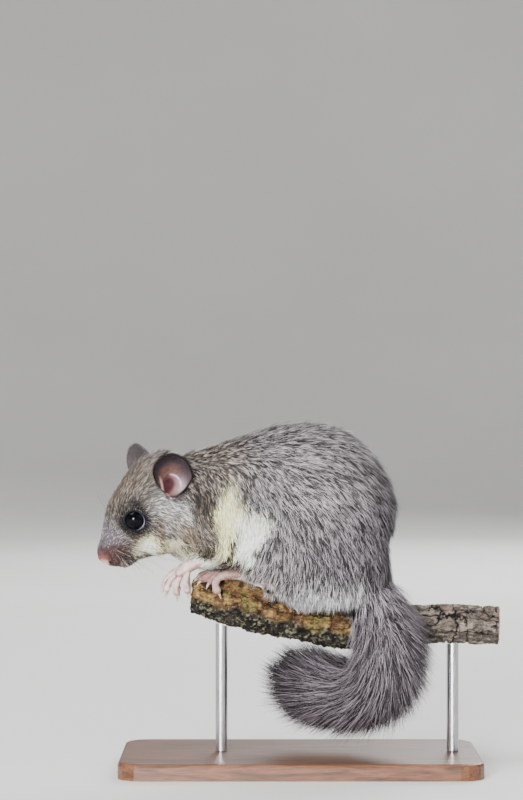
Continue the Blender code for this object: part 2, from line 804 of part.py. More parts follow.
# About how many triangles each node keeps
COUNTS = {
    "head": 2300,
    "neck": 430,
    "trunk": 1700,
    "haunch": 560,
    "upper_arm": 320,
    "forearm": 240,
    "forepaw": 520,
    "hindfoot": 600,
    "ear": 320,
    "tail": 1500,
}


def main():
    clear_scene()
    perch = finish(perch_body(), "perch_branch", "bark")

    flesh = thinned(flesh_body(), 5000)
    carve(flesh, [perch_body(GAP)])

    neck_front, neck_rear = Vector((-43.5, 0, 100)), Vector((-34, 0, 100))
    front_way, rear_way = Vector((-1, 0, -0.12)), Vector((-1, 0, -0.30))

    limbs, cutters = {}, []
    for mirror, side in ((list, "left"), (mirrored, "right")):
        taken = []
        for name, rows, grow in LIMBS:
            wider = [(*r[:3], *(reach + grow for reach in r[3:])) for r in mirror(rows)]
            cutter = loft("cutter", wider, rings=12, sides=20)
            limb = common(copy_of(flesh), copy_of(cutter))
            if taken:
                carve(limb, [swollen(other) for other in taken])
            thinned(limb, COUNTS[name])
            limbs[f"{name}_{side}"] = finish(limb, f"{name}_{side}", LIMB_FINISH[name])
            taken.append(cutter)
        cutters += taken
    rest = carve(flesh, [swollen(cutter) for cutter in cutters])
    discard(*cutters)

    head = carve(copy_of(rest), [ahead_of(neck_front, -front_way)])
    neck = carve(copy_of(rest), [ahead_of(neck_front, front_way),
                                 ahead_of(neck_rear, -rear_way)])
    trunk = carve(rest, [ahead_of(neck_rear, rear_way)])
    finish(thinned(neck, COUNTS["neck"]), "neck", "coat")
    finish(thinned(trunk, COUNTS["trunk"]), "trunk", "coat")
    make_head(head)
    make_eyes()
    for way in (-1, 1):
        make_ear(way, [head, neck])

    for way, side in ((-1, "left"), (1, "right")):
        make_paw(f"forepaw_{side}", FOREPALM, FOREDIGITS, 1.6, way,
                 [perch, limbs[f"forearm_{side}"]])
        make_paw(f"hindfoot_{side}", HINDPALM, HINDDIGITS, 1.7, way,
                 [perch, limbs[f"haunch_{side}"], trunk])

    tail_names = ("tail_base", "tail_middle", "tail_tip")
    body = [trunk, limbs["haunch_left"], limbs["haunch_right"]]
    before = None
    for part, name in enumerate(tail_names):
        piece = thinned(tail_length(part), COUNTS["tail"])
        clear_of = [perch_body(GAP)]
        if before is None:
            clear_of += [swollen(other) for other in body]
        else:
            clear_of += [tail_length(part - 1, TAIL_GAP), copy_of(before)]
        before = finish(carve(piece, clear_of), name, "coat")

    make_stand(perch)


main()
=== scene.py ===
"""The looks of an edible dormouse on its perch: skin, coat, eyes, claws, bark, stand and light.

Sizes and places are in millimetres, in the frame of the solids, and become metres in new_object.
The head's own places are in the head's frame: -X to the nose, -Y to the animal's left, +Z up.
"""

import itertools
import math

import bmesh
import bpy
import numpy as np
from mathutils import Matrix, Vector, kdtree
from mathutils.bvhtree import BVHTree


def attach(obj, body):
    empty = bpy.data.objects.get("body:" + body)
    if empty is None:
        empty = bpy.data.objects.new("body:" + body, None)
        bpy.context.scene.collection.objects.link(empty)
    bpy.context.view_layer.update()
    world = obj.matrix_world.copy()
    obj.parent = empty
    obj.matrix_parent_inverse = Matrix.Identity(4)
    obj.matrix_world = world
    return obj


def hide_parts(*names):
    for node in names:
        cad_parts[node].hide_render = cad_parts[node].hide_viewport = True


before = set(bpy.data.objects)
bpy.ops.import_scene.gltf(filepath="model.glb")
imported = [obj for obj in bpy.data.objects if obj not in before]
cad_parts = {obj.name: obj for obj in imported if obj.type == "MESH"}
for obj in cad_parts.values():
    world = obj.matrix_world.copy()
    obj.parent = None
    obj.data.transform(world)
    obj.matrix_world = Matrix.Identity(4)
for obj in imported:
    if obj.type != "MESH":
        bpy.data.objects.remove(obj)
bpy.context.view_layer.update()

MM = 0.001
WAYS = (-1, 1)  # to the animal's left and right

# The solids that the skin doesn't stand for
KEPT_NODES = ("eye_left", "eye_right", "perch_branch", "stand_base", "stand_rod_front",
              "stand_rod_rear")

# Head pose, as in the solids
HEAD_PLACE = (
    Matrix.Translation((-49.3, 0.0, 99.6))
    @ Matrix.Rotation(math.radians(20), 4, "Z")
    @ Matrix.Rotation(-math.radians(40), 4, "Y")
    @ Matrix.Rotation(math.radians(6), 4, "X")
)
HEAD_TURN = np.array(HEAD_PLACE.to_3x3())
HEAD_PIVOT = np.array(HEAD_PLACE.translation)

# Skin: its voxels, how far the solids swell before they are fused, and how far the fused skin then
# sinks under the tips of the coat on each solid. The paws have no depth, as they are made anew.
SKIN_VOXEL = 0.36
NODE_SWELL = 0.28
COAT_DEPTH = {
    "head": 1.1, "neck": 2.0, "trunk": 2.3, "haunch_left": 2.3, "haunch_right": 2.3,
    "upper_arm_left": 1.5, "upper_arm_right": 1.5, "forearm_left": 0.8, "forearm_right": 0.8,
    "forepaw_left": 0.0, "forepaw_right": 0.0, "hindfoot_left": 0.0, "hindfoot_right": 0.0,
}

# Thinning of the skin: the share of its triangles that is left, and the steps from fine to coarse
SKIN_LEFT = 0.42
THINNING_STEPS = 9

# Eye, in the head's frame
EYE_RADIUS = 4.3
EYE_PLACE = (-15.9, 7.4, 4.9)
EYE_AXIS = (-0.36, 0.92, 0.12)
SOCKET_GAP = 0.06
LID_MARGIN = 3.5
LID_SIDES = 64
# The lids' section round the eye: how far out from the margin, and how high over the eye's middle
LID_SECTION = (
    (-0.12, 2.35), (-0.02, 2.78), (0.28, 2.92), (0.85, 2.62), (1.6, 1.85), (2.1, 0.7), (1.2, 0.5)
)

# Flank, seen from the side: the white patch's rear corner and lean, and the fold before it
WHITE_CORNER = (-10.3, 93.0)
WHITE_LEAN = 0.43
CREASE_MIDDLE = (-24.5, 84.2)
CREASE_LEAN = 0.34
CREASE_RADII = (0.9, None, 6.0)

# The brown streak down the cheek, in the head's frame: (x, z) of its top and of the way across it
STREAK_TOP = (-10.1, 1.1)
STREAK_ACROSS = (0.886, 0.463)
STREAK_HALF_WIDTH = 1.25

# Muzzle, in the head's frame: the nostril, lumps of (middle, radii) that round the nose, and
# grooves of (points, radii) on the left side, which are the lip and two lines of the nostril
NOSTRIL = (-32.1, 3.3, -2.9)
NOSE_LUMPS = (
    ((-32.2, 0, -0.5), (2.3, 2.6, 2.2)),
    ((-32.6, 1.4, -1.0), (1.6, 1.5, 1.5)),
    ((-32.6, -1.4, -1.0), (1.6, 1.5, 1.5)),
)
FACE_GROOVES = (
    ([(-33.4, -0.2, -3.4), (-31.2, -2.6, -4.7), (-27.5, -5.2, -6.0), (-23.0, -7.2, -7.1),
      (-20.0, -8.8, -7.3)], (0.22, 0.3, 0.36, 0.36, 0.15)),
    ([(-34.8, -1.0, -0.5), (-33.7, -1.45, -0.35), (-32.6, -2.0, 0.2)], (0.42, 0.5, 0.3)),
    ([(-31.6, -4.4, -1.9), (-31.9, -3.5, -2.9), (-32.2, -2.4, -4.2)], (0.2, 0.45, 0.3)),
)
NOSE_CLEFT = ([(-34.4, 0, -0.9), (-33.9, 0, -2.3), (-33.2, 0, -3.6)], (0.16, 0.22, 0.22))

# Ear, in the head's frame: its middle, the ways to its tip and out of its cup, and its sizes. The
# pit is placed across and up from the middle.
EAR_CENTRE = (3.0, 16.6, 10.8)
EAR_TIP = (9.1, 4.7, 13.6)
EAR_OPENING = (-0.66, 0.75, -0.06)
EAR_HALF_WIDTH = 7.2
EAR_HALF_HEIGHT = 8.3
EAR_DEPTH = 4.4
EAR_WALL = 0.55
EAR_PIT = (-1.9, -4.7)
EAR_PIT_RADIUS = 2.3
EAR_PIT_DEPTH = 1.5
EAR_NARROWING = 0.42
EAR_SHOULDER = 1.2
EAR_RINGS = 46
EAR_SIDES = 120
EAR_WALL_POINTS = EAR_RINGS * EAR_SIDES
# The folds round the pit: how far the first is from it, from each to the next, and their height
FOLD_START = 3.5
FOLD_SPACING = 1.4
FOLD_HEIGHT = 0.22

# Paws: stations of (x, y, z, above, below, half width), and toes of (radius, points)
FOREPALM = [
    (-33.5, -12.0, 77.6, 2.6, 2.6, 3.0),
    (-36.4, -11.2, 76.9, 2.2, 2.2, 2.6),
    (-39.5, -10.8, 75.7, 2.2, 2.2, 3.2),
    (-42.8, -10.4, 73.7, 2.0, 2.0, 4.0),
    (-44.6, -10.3, 72.0, 1.4, 1.6, 3.4),
]
FORETOES = [
    (1.1, [(-42.6, -7.4, 73.6), (-46.6, -7.6, 72.4), (-49.4, -8.6, 69.6), (-50.2, -9.4, 67.2)]),
    (1.1, [(-43.6, -9.2, 73.0), (-46.8, -10.2, 70.8), (-48.6, -10.8, 68.0), (-49.0, -10.6, 65.6)]),
    (1.1, [(-43.2, -11.0, 72.6), (-44.9, -12.2, 69.6), (-45.6, -12.0, 66.8), (-45.2, -11.2, 64.4)]),
    (1.1, [(-41.4, -12.6, 72.8), (-41.9, -13.2, 70.2), (-41.7, -12.4, 67.4), (-41.2, -11.4, 65.2)]),
]
HINDPALM = [
    (4, -13.0, 68.0, 2.4, 2.4, 3.0),
    (-4, -12.5, 69.0, 2.2, 2.2, 2.8),
    (-12, -11.5, 71.2, 1.6, 1.6, 2.4),
    (-20, -10.4, 72.0, 1.3, 1.4, 2.6),
    (-26.5, -9.4, 72.0, 1.6, 1.6, 3.2),
    (-29, -9.1, 71.2, 1.3, 1.5, 2.8),
]
HINDTOES = [
    (1.2, [(-27.5, -6.6, 71.8), (-30.6, -4.2, 72.4), (-33.2, -2.6, 72.1), (-35.2, -2.0, 71.2)]),
    (1.2, [(-28.0, -7.4, 71.8), (-32.0, -5.8, 72.4), (-35.4, -4.6, 71.6), (-37.8, -4.0, 70.2)]),
    (1.2, [(-28.0, -8.0, 71.8), (-31.8, -7.4, 72.0), (-34.8, -6.8, 71.0), (-36.6, -6.5, 69.4)]),
    (1.25, [(-28.0, -8.8, 71.8), (-30.6, -8.6, 71.4), (-32.6, -7.9, 70.2), (-33.6, -7.3, 68.6)]),
    (1.5, [(-26.4, -10.2, 71.8), (-30.0, -11.0, 70.8), (-31.1, -10.8, 67.8), (-29.8, -9.8, 65.2)]),
]
CLAW_LENGTH = 1.7
# Rings and sides of the round bodies
PALM_GRID = (26, 20)
TOE_GRID = (22, 14)
CLAW_GRID = (12, 10)
TAIL_GRID = (120, 24)
EAR_ROOT_GRID = (20, 24)
GROOVE_GRID = (18, 10)
WHISKER_GRID = (16, 5)
# How thick a toe is at even steps to its tip, as shares of its radius
TOE_SWELLING = (1.05, 1.0, 0.86, 0.98, 0.84, 1.08, 0.62)

# The tail's centreline, as in the solids, the radius of its skin, the length of its hair, how many
# stations its skin and its hair take from the centreline, and the height that its hair starts under
TAIL = [
    (20, 0, 75), (25, -4, 68), (29, -11, 59), (32, -15.5, 47.5), (31.5, -13.5, 37.5),
    (26, -8.5, 30), (16.5, -2, 27.8), (7, 4, 29), (0, 8, 31),
]
TAIL_ROOT = (24, -3, 68)
TAIL_RADIUS = 4.6
TAIL_HAIR = 14.6
TAIL_STATIONS = 40
TAIL_HAIR_STATIONS = 160
TAIL_TOP = 73

# Perch: its voxels, the height of the ridge under the forepaws, where its sawn end starts, and the
# height over which all hair is clear of it
BARK_VOXEL = 0.34
PERCH_RIDGE = 1.9
SAWN_FROM = 72.5
PERCH_TOP = 74

# Whiskers, in the head's frame: rows and how many in each, (x, z) of the first one's root and from
# each to the next; then the brow hairs, the first one's root, and the radii of both
WHISKER_ROWS = 5
WHISKERS_IN_ROW = 6
FIRST_WHISKER = (-29.6, 1.4)
WHISKER_STEP = (1.25, 1.35)
BROW_HAIRS = 3
BROW_ROOT = (-17.0, 5.6, 10.4)
WHISKER_RADIUS = 0.065
BROW_RADIUS = 0.06

# Coat: how deep each tuft's root is sunk in the skin, the widest that a tuft is, how far its tip
# and its bend are drawn to the middle of its lock, and how many degrees it rises at its root, on
# the body and more on the tail
ROOT_SINK = 0.15
TUFT_WIDEST = 0.22
TIP_GATHER = 0.62
BEND_GATHER = 0.3
BODY_RISE = 33
TAIL_RISE = 34
# The seeds of the random draws: the first coat piece's, the ears' coat's and the whiskers'
COAT_SEED = 100
EAR_COAT_SEED = 50
WHISKER_SEED = 5
# The most tufts a piece may have, and the corners of the patch that each tuft takes on the unwrap
MOST_TUFTS = 33000
TUFT_PATCH = np.array(
    [(0.0015, 0), (0, 0.0012), (0.003, 0.0012), (0.0015, 0.0015), (0.0015, 0.003)]
)

# Each lock draws a tone from 0 to 1: dark below the first value, silver above the second, with
# these shades. A share of the tufts draw a tone of their own, and more do on the tail.
DARK_BELOW = 0.55
SILVER_FROM = 0.84
DARK_SHADE = 0.1
MIDDLE_SHADE = 0.75
SILVER_SHADE = 2.9
LONE_TUFTS = 0.6
LONE_TAIL_TUFTS = 0.8

# The coat pieces in the order of coat_regions: name, material slot, roots per square millimetre,
# and the area that shares one lock
COAT_PIECES = (
    ("coat_tail_tip", "fur_tail", 16.0, 0.22),
    ("coat_tail", "fur_tail", 16.0, 0.22),
    ("coat_face", "fur_head", 13.0, 0.2),
    ("coat_head", "fur_head", 12.0, 0.3),
    ("coat_front", "fur_back", 11.0, 0.3),
    ("coat_left", "fur_back", 11.5, 0.34),
    ("coat_right", "fur_back", 10.0, 0.34),
    ("coat_rump_left", "fur_back", 11.5, 0.34),
    ("coat_rump_right", "fur_back", 10.0, 0.34),
)
# Where they part: the tail's tip, the front and the rump along X, and in the head's frame the rear
# of the face and of the head, and the head's underside
TAIL_TIP_BEFORE = 26
FRONT_BEFORE = -21
RUMP_FROM = 8
FACE_BEFORE = -9
HEAD_BEFORE = 4
HEAD_ABOVE = -16
# Roots per square millimetre on the backs of the ears
EAR_COAT_DENSITY = 16.0
# The unwrap of a coat piece: the height of the body's long axis, and its start and span
BODY_MIDDLE = 88
UNWRAP_START = 0.004
UNWRAP_SPAN = 0.988

# Which way the hair lies: (x, z, degrees), 0 towards the tail and -90 down, seen from the side
BODY_LIE = [
    (-37, 121, 18), (-18.5, 128, 12), (0, 131, -5), (18.5, 123, -35), (31.5, 106, -65),
    (35, 84, -85), (37, 66, -62), (0, 117, -12), (-22, 117, -30), (0, 103, -40), (11, 102, -48),
    (0, 88, -68), (15, 84, -75), (-14, 77, -112), (-6, 72, -103), (2, 65, -92), (10, 60, -88),
    (20, 64, -80), (-11, 91, -82), (-18, 106, -58), (-24, 99, -78), (-26, 84, -88),
    (-16, 84, -98), (-37, 106, -55), (-37, 95, -78), (-35, 82, -86), (-46, 92, -55),
    (-47, 80, -80), (-37, 76, -178), (-31, 76, -172), (28, 60, -60), (-50, 108, 5),
]
# The same in the head's frame, where 0 points to the nape
HEAD_LIE = [
    (-25.4, 7.1, 30), (-29.8, 3.5, 20), (-27.2, 0.5, -15), (-27.6, -5.1, -50), (-15.2, 13.1, 10),
    (-7.4, 15.9, 2), (-2.3, 16.4, 0), (-9.1, 6.4, -20), (-5.3, 5.7, -35), (-19.6, -5.9, -65),
    (-18, -9, -70), (-14.3, -5.9, -72), (-9.2, -0.6, -60), (-9.2, -5.5, -75), (-6.2, 1.7, -60),
    (3.2, 16.4, -5),
]

# Floor, in metres: the flat part, the curve up and the wall's height
FLOOR_FLAT = 1.7
FLOOR_CURVE = 1.7
FLOOR_WALL = 3.0
FLOOR_SIDES = 96

# Camera and lights, in metres: each light's name, place, size and watts, and what they aim at
CAMERA_PLACE = (-0.0142, -1.0, 0.136)
CAMERA_LENS = 121.6
CAMERA_SENSOR = 36
LIGHTS = (
    ("key", (-0.27, -1.1, 0.20), 0.24, 25),
    ("soft", (-0.6, -0.5, 1.3), 0.8, 16),
    ("fill", (1.0, -0.6, 0.6), 0.9, 2),
    ("rear", (0.5, 1.2, 0.9), 1.0, 22),
)
LIGHTS_AIM = (-0.005, 0, 0.07)
SKY = (0.9, 0.92, 0.95)
SKY_STRENGTH = 0.36


def srgb(red, green, blue):
    """A linear colour from sRGB values of 0 to 255."""
    value = np.array((red, green, blue), float) / 255
    return np.where(value <= 0.04045, value / 12.92, ((value + 0.055) / 1.055) ** 2.4)


# Coat
BACK = srgb(126, 121, 123)
BROWN = srgb(124, 110, 98)
NAPE = srgb(140, 129, 119)
SPECKLED = srgb(122, 114, 105)
SHOULDER = srgb(62, 51, 39)
PALE_GREY = srgb(184, 181, 178)
CREAM = srgb(252, 241, 182)
NECK_CREAM = srgb(246, 240, 204)
WHITE = srgb(248, 253, 232)
STREAK = srgb(104, 78, 54)
LILAC = srgb(158, 150, 158)
PINK = srgb(104, 70, 69)
DARK = srgb(38, 37, 45)
TAIL_GREY = srgb(114, 107, 113)
# Painted shadow on the tail's far end and lowest part; the tail itself is evenly grey
TAIL_SHADOW = srgb(34, 30, 33)
PAD_RED = srgb(96, 54, 52)
# Painted shadow in the fold between the arm and the thigh
CREASE_SHADOW = srgb(70, 54, 44)
# Dark reddish brown under the arm, above the hind foot: partly the fur's own russet, mostly painted
# shadow
RUSSET_SHADOW = srgb(96, 74, 68)
# Darker grey on the rump: painted shade where the rump turns away from the light
RUMP_SHADE_GREY = srgb(88, 84, 89)
# Grey under the jaw: the chin's own grey, darkened as painted shade
CHIN_SHADE_GREY = srgb(104, 102, 102)
NECK_BROWN = srgb(134, 118, 98)
RUMP_WHITE = srgb(206, 204, 206)
# Dark under the coat: the underfur's own dark, deepened as painted shade in the gaps between hairs
UNDER = srgb(64, 54, 52)
PAW_HAIR = srgb(222, 200, 190)
# Bare skin
NOSE_PINK = srgb(124, 78, 74)
NOSE_PALE = srgb(206, 178, 166)
PAW_PINK = srgb(204, 160, 152)
PAW_PALE = srgb(238, 218, 212)
# Painted shade on the bare paws: in creases, underneath, and on their inner sides
PAW_CREASE_SHADE = srgb(112, 66, 64)
PAW_UNDERSIDE_SHADE = srgb(142, 96, 90)
PAW_INNER_SHADE = srgb(104, 66, 62)
HIND_PAW = srgb(142, 104, 94)
LID = srgb(14, 11, 14)
# Painted reflection: a pale crescent along the rear of the lids' margin
EYE_RIM_GLINT = srgb(132, 132, 150)
EAR_BACK = srgb(74, 67, 68)
EAR_INSIDE = srgb(74, 62, 66)
EAR_SHADE = srgb(34, 28, 32)
# Painted shadow inside the top and front of the ear's cup
EAR_WARM = srgb(98, 66, 54)
EAR_PINK = srgb(172, 130, 126)
# Painted highlight: a pale arc over the pit and on the crests of the folds
EAR_HIGHLIGHT = srgb(236, 208, 220)
EAR_EDGE = srgb(206, 168, 154)
EAR_NOTCH = srgb(138, 108, 108)
EAR_MAUVE = srgb(164, 146, 152)
EAR_PIT_RED = srgb(66, 35, 40)
EAR_RIM = srgb(7, 6, 8)
# Eyes, claws and whiskers
IRIS_DARK = srgb(1, 2, 5)
IRIS_PALE = srgb(5, 6, 14)
CLAW_DARK = srgb(150, 118, 100)
CLAW_PALE = srgb(222, 204, 188)
WHISKER_DARK = srgb(46, 38, 38)
WHISKER_PALE = srgb(206, 200, 194)
# Bark, and the wood of its sawn end
OCHRE = srgb(160, 124, 80)
BARK_BROWN = srgb(104, 74, 50)
GOLD = srgb(204, 168, 104)
OLIVE = srgb(132, 124, 70)
BARK_GREY = srgb(122, 110, 101)
BARK_PINK = srgb(158, 134, 120)
BARK_PALE = srgb(186, 174, 160)
# Painted shade on the bark: in deep cracks and on the branch's underside, over the bark's own dark
BARK_SHADE = srgb(30, 28, 26)
BARK_HALF_SHADE = srgb(68, 62, 54)
LICHEN = srgb(172, 166, 134)
SAWN_WOOD = srgb(206, 176, 128)
SAWN_RING = srgb(168, 128, 84)
# Stand and floor
BASE_TONES = (
    (0.30, srgb(58, 34, 22)),
    (0.47, srgb(96, 58, 36)),
    (0.56, srgb(120, 76, 48)),
    (0.72, srgb(74, 44, 28)),
)
STEEL_DARK = srgb(150, 150, 152)
STEEL_PALE = srgb(206, 206, 208)
FLOOR_DARK = srgb(236, 235, 232)
FLOOR_PALE = srgb(243, 242, 240)

# Soft patches of (colour, strength, middle, radii, softness), each over the ones before it. The
# last two lists are in the head's frame.
BACK_PATCHES = (
    (NAPE, 0.8, (-38, 0, 112), (17, None, 14), 0.5),
    # Painted shade: darker grey over the rump's rear edge, and more faintly over the haunch
    (RUMP_SHADE_GREY, 0.8, (38, 0, 88), (18, None, 34), 0.5),
    (RUMP_SHADE_GREY, 0.6, (14, 0, 84), (20, None, 12), 0.6),
    (SHOULDER, 1.0, (-35.5, 0, 88.5), (7, None, 15.5), 0.35),
    (CREAM, 1.0, (-26.0, 0, 90), (5.2, None, 15), 0.35),
)
LOW_PATCHES = (
    (RUMP_WHITE, 0.85, (10, 0, 64), (17, None, 6.5), 0.5),
    (NECK_CREAM, 0.8, (-45.5, 0, 80), (7, None, 8.5), 0.4),
)
# Painted shadow under the arm, over the fur's own russet
ARM_SHADOW_PATCHES = ((RUSSET_SHADOW, 0.9, (-23, 0, 76.6), (6, None, 3.4), 0.5),)
HEAD_PATCHES = (
    (BROWN, 0.7, (-8, 0, 17), (17, 9, 7), 0.5),
    (PALE_GREY, 1.0, (-5, 13, 0), (9, 8, 7.5), 0.45),
    (LILAC, 1.0, (-27, 0, 4), (6.5, 8, 5.5), 0.4),
    (NECK_BROWN, 0.8, (-5.6, 13, -9.0), (3.4, 9, 7), 0.4),
    (NECK_CREAM, 0.85, (-12.6, 11, -11.4), (3.6, 9, 4.6), 0.4),
    (CREAM, 1.0, (-18.8, 9, -6.4), (5.8, 8, 4.8), 0.3),
    (WHITE, 0.9, (-19.0, 9, -5.6), (3.4, 8, 3.0), 0.4),
)
MUZZLE_PATCHES = (
    # The chin's grey, darkened as painted shade under the jaw
    (CHIN_SHADE_GREY, 0.85, (-21.5, 0, -11.6), (12, 9, 4.6), 0.35),
    (CHIN_SHADE_GREY, 0.35, (-24.4, 0, -8.2), (5.0, None, 2.4), 0.4),
    (WHITE, 0.6, (-29.5, 4, -5.6), (2.4, 4, 1.2), 0.4),
    (PINK, 1.0, (-30.5, 0, -2.0), (6.4, 9, 5.0), 0.45),
)


def unit(vectors):
    return vectors / np.maximum(np.linalg.norm(vectors, axis=-1, keepdims=True), 1e-9)


def smooth_step(low, high, value):
    """0 up to the low value, 1 from the high one on, and smooth between."""
    t = np.clip((value - low) / (high - low), 0, 1)
    return t * t * (3 - 2 * t)


def fade(low, high, value):
    """1 up to the low value, 0 from the high one on, and smooth between."""
    return 1 - smooth_step(low, high, value)


def to_head(points):
    return (points - HEAD_PIVOT) @ HEAD_TURN


def from_head(points):
    return np.asarray(points, float) @ HEAD_TURN.T + HEAD_PIVOT


def on_one_side(places):
    """The places, with those of the left side mirrored to the right."""
    return np.stack([places[:, 0], np.abs(places[:, 1]), places[:, 2]], axis=1)


def lattice_noise(points, size, seed=0):
    """Smooth noise from -1 to 1 whose cells have this size."""
    cell = points / size
    low = np.floor(cell).astype(np.int64)
    part = cell - low
    part = part * part * (3 - 2 * part)
    total = np.zeros(len(points))
    for corner in itertools.product((0, 1), repeat=3):
        spot = low + np.array(corner)
        mixed = spot[:, 0] * 374761393 + spot[:, 1] * 668265263 + spot[:, 2] * 974634777
        mixed = mixed + seed * 1274126177
        mixed = (mixed ^ (mixed >> 13)) * 1274126177
        value = ((mixed ^ (mixed >> 16)) & 0xFFFF) / 32767.5 - 1
        total += value * np.prod(np.where(corner, part, 1 - part), axis=1)
    return total


def nearest(places, seeds):
    """The number of the nearest seed for each place, and its distance."""
    tree = kdtree.KDTree(len(seeds))
    for i, seed in enumerate(seeds):
        tree.insert(seed, i)
    tree.balance()
    found = [tree.find(place)[1:] for place in places]
    return np.array([f[0] for f in found]), np.array([f[1] for f in found])


def spline(rows, count):
    """The rows read at even steps along a Catmull-Rom curve through them."""
    rows = np.asarray(rows, float)
    padded = np.vstack([2 * rows[0] - rows[1], rows, 2 * rows[-1] - rows[-2]])
    read = []
    for step in np.linspace(0, len(rows) - 1, count):
        i = min(int(step), len(rows) - 2)
        t = step - i
        a, b, c, d = padded[i : i + 4]
        curve = 2 * b + (c - a) * t + (2 * a - 5 * b + 4 * c - d) * t**2
        read.append(0.5 * (curve + (3 * b - a - 3 * c + d) * t**3))
    return np.array(read)


def path_frames(centres, side):
    """Tangent, side and up directions at each centre of a path."""
    tangent = unit(np.gradient(centres, axis=0))
    side = np.array(side, float)
    across = unit(side - tangent * (tangent @ side)[:, None])
    return tangent, across, np.cross(tangent, across)


def body_of(rows, rings, sides, side=(0, 1, 0)):
    """Points and triangles of a closed body through stations of (x, y, z, above, below, half)."""
    path = spline(rows, rings)
    centres = path[:, :3]
    above, below, half = np.maximum(path[:, 3:], 0.02).T
    tangent, across, up = path_frames(centres, side)
    turn = np.linspace(0, 2 * math.pi, sides, endpoint=False)
    reach = np.where(np.sin(turn) > 0, above[:, None], below[:, None]) * np.sin(turn)
    width = half[:, None] * np.cos(turn)
    grid = centres[:, None] + across[:, None] * width[..., None] + up[:, None] * reach[..., None]
    start = centres[0] - tangent[0] * above[0] * 0.6
    end = centres[-1] + tangent[-1] * above[-1] * 0.6
    points = np.vstack([grid.reshape(-1, 3), start, end])
    faces = []
    for i in range(rings - 1):
        for k in range(sides):
            a, b = i * sides + k, i * sides + (k + 1) % sides
            faces += [(a, a + sides, b), (b, a + sides, b + sides)]
    last = (rings - 1) * sides
    for k in range(sides):
        n = (k + 1) % sides
        faces += [(k, n, rings * sides), (last + n, last + k, rings * sides + 1)]
    return facing_out(points, np.array(faces))


def tube(points, radii, rings, sides):
    """Points and triangles of a closed round body along these points."""
    rows = [(*p, r, r, r) for p, r in zip(points, radii)]
    return body_of(rows, rings, sides)


def facing_out(points, faces):
    """The closed surface with its triangles turned to face out."""
    a, b, c = (points[faces[:, k]] for k in range(3))
    volume = np.sum(a * np.cross(b, c))
    return points, faces if volume > 0 else faces[:, ::-1]


def joined(parts):
    """Several (points, triangles) as one."""
    points, faces, count = [], [], 0
    for some_points, some_faces in parts:
        points.append(some_points)
        faces.append(some_faces + count)
        count += len(some_points)
    return np.vstack(points), np.vstack(faces)


def ball(centre, radii, detail=4):
    """Points and triangles of an ellipsoid."""
    body = bmesh.new()
    bmesh.ops.create_icosphere(body, subdivisions=detail, radius=1)
    points = np.array([v.co for v in body.verts]) * radii + centre
    faces = np.array([[v.index for v in f.verts] for f in body.faces])
    body.free()
    return points, faces


def head_ball(centre, radii, detail=4):
    """A ball whose centre and radii are in the head's frame."""
    points, faces = ball(centre, radii, detail)
    return from_head(points), faces


def add_object(name, data):
    made = bpy.data.objects.new(name, data)
    bpy.context.scene.collection.objects.link(made)
    return made


def new_object(name, points, triangles):
    """A smooth mesh object from points in millimetres and an array of triangles."""
    mesh = bpy.data.meshes.new(name)
    mesh.vertices.add(len(points))
    mesh.vertices.foreach_set("co", (points * MM).astype(np.float32).ravel())
    mesh.loops.add(3 * len(triangles))
    mesh.loops.foreach_set("vertex_index", triangles.astype(np.int32).ravel())
    mesh.polygons.add(len(triangles))
    mesh.polygons.foreach_set("loop_start", np.arange(0, 3 * len(triangles), 3, dtype=np.int32))
    mesh.update(calc_edges=True)
    mesh.shade_smooth()
    return add_object(name, mesh)


def add_piece(obj, material, slot, *replaced):
    """Give a piece its material, let it ride the root, and hide the solids it stands for; the slot
    is not used.
    """
    obj.data.materials.append(material)
    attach(obj, "root")
    for name in replaced:
        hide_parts(name)


def mesh_arrays(mesh):
    """Points in millimetres, normals and triangles of a mesh."""
    count = len(mesh.vertices)
    points = np.empty(count * 3, np.float32)
    normals = np.empty(count * 3, np.float32)
    mesh.vertices.foreach_get("co", points)
    mesh.vertices.foreach_get("normal", normals)
    mesh.calc_loop_triangles()
    triangles = np.empty(len(mesh.loop_triangles) * 3, np.int32)
    mesh.loop_triangles.foreach_get("vertices", triangles)
    points = points.reshape(-1, 3).astype(float) / MM
    return points, normals.reshape(-1, 3).astype(float), triangles.reshape(-1, 3)


def bake_modifiers(obj):
    """The same object with its modifiers turned into mesh."""
    bpy.context.view_layer.update()
    graph = bpy.context.evaluated_depsgraph_get()
    mesh = bpy.data.meshes.new_from_object(obj.evaluated_get(graph))
    obj.modifiers.clear()
    obj.data = mesh
    return obj


def remeshed(obj, voxel):
    """The object's outer surface as one mesh of small even faces."""
    remesh = obj.modifiers.new("fuse", "REMESH")
    remesh.mode = "VOXEL"
    remesh.voxel_size = voxel * MM
    return bake_modifiers(obj)


def set_points(mesh, points):
    """Move the mesh's vertices to points in millimetres."""
    mesh.vertices.foreach_set("co", (points * MM).astype(np.float32).ravel())
    mesh.update()


def edges_of(mesh):
    edges = np.empty(len(mesh.edges) * 2, np.int32)
    mesh.edges.foreach_get("vertices", edges)
    return edges.reshape(-1, 2)


def spread(values, edges, rounds, share=0.5):
    """Values on the vertices, each blended with its neighbours' mean for some rounds."""
    values = values.astype(float).reshape(len(values), -1)
    both = np.concatenate([edges[:, 0], edges[:, 1]])
    other = np.concatenate([edges[:, 1], edges[:, 0]])
    number = np.bincount(both, minlength=len(values))[:, None]
    share = np.broadcast_to(np.reshape(share, (-1, 1)), (len(values), 1))
    for _ in range(rounds):
        total = np.stack(
            [np.bincount(both, column[other], len(values)) for column in values.T], axis=1
        )
        values = values * (1 - share) + share * total / np.maximum(number, 1)
    return values


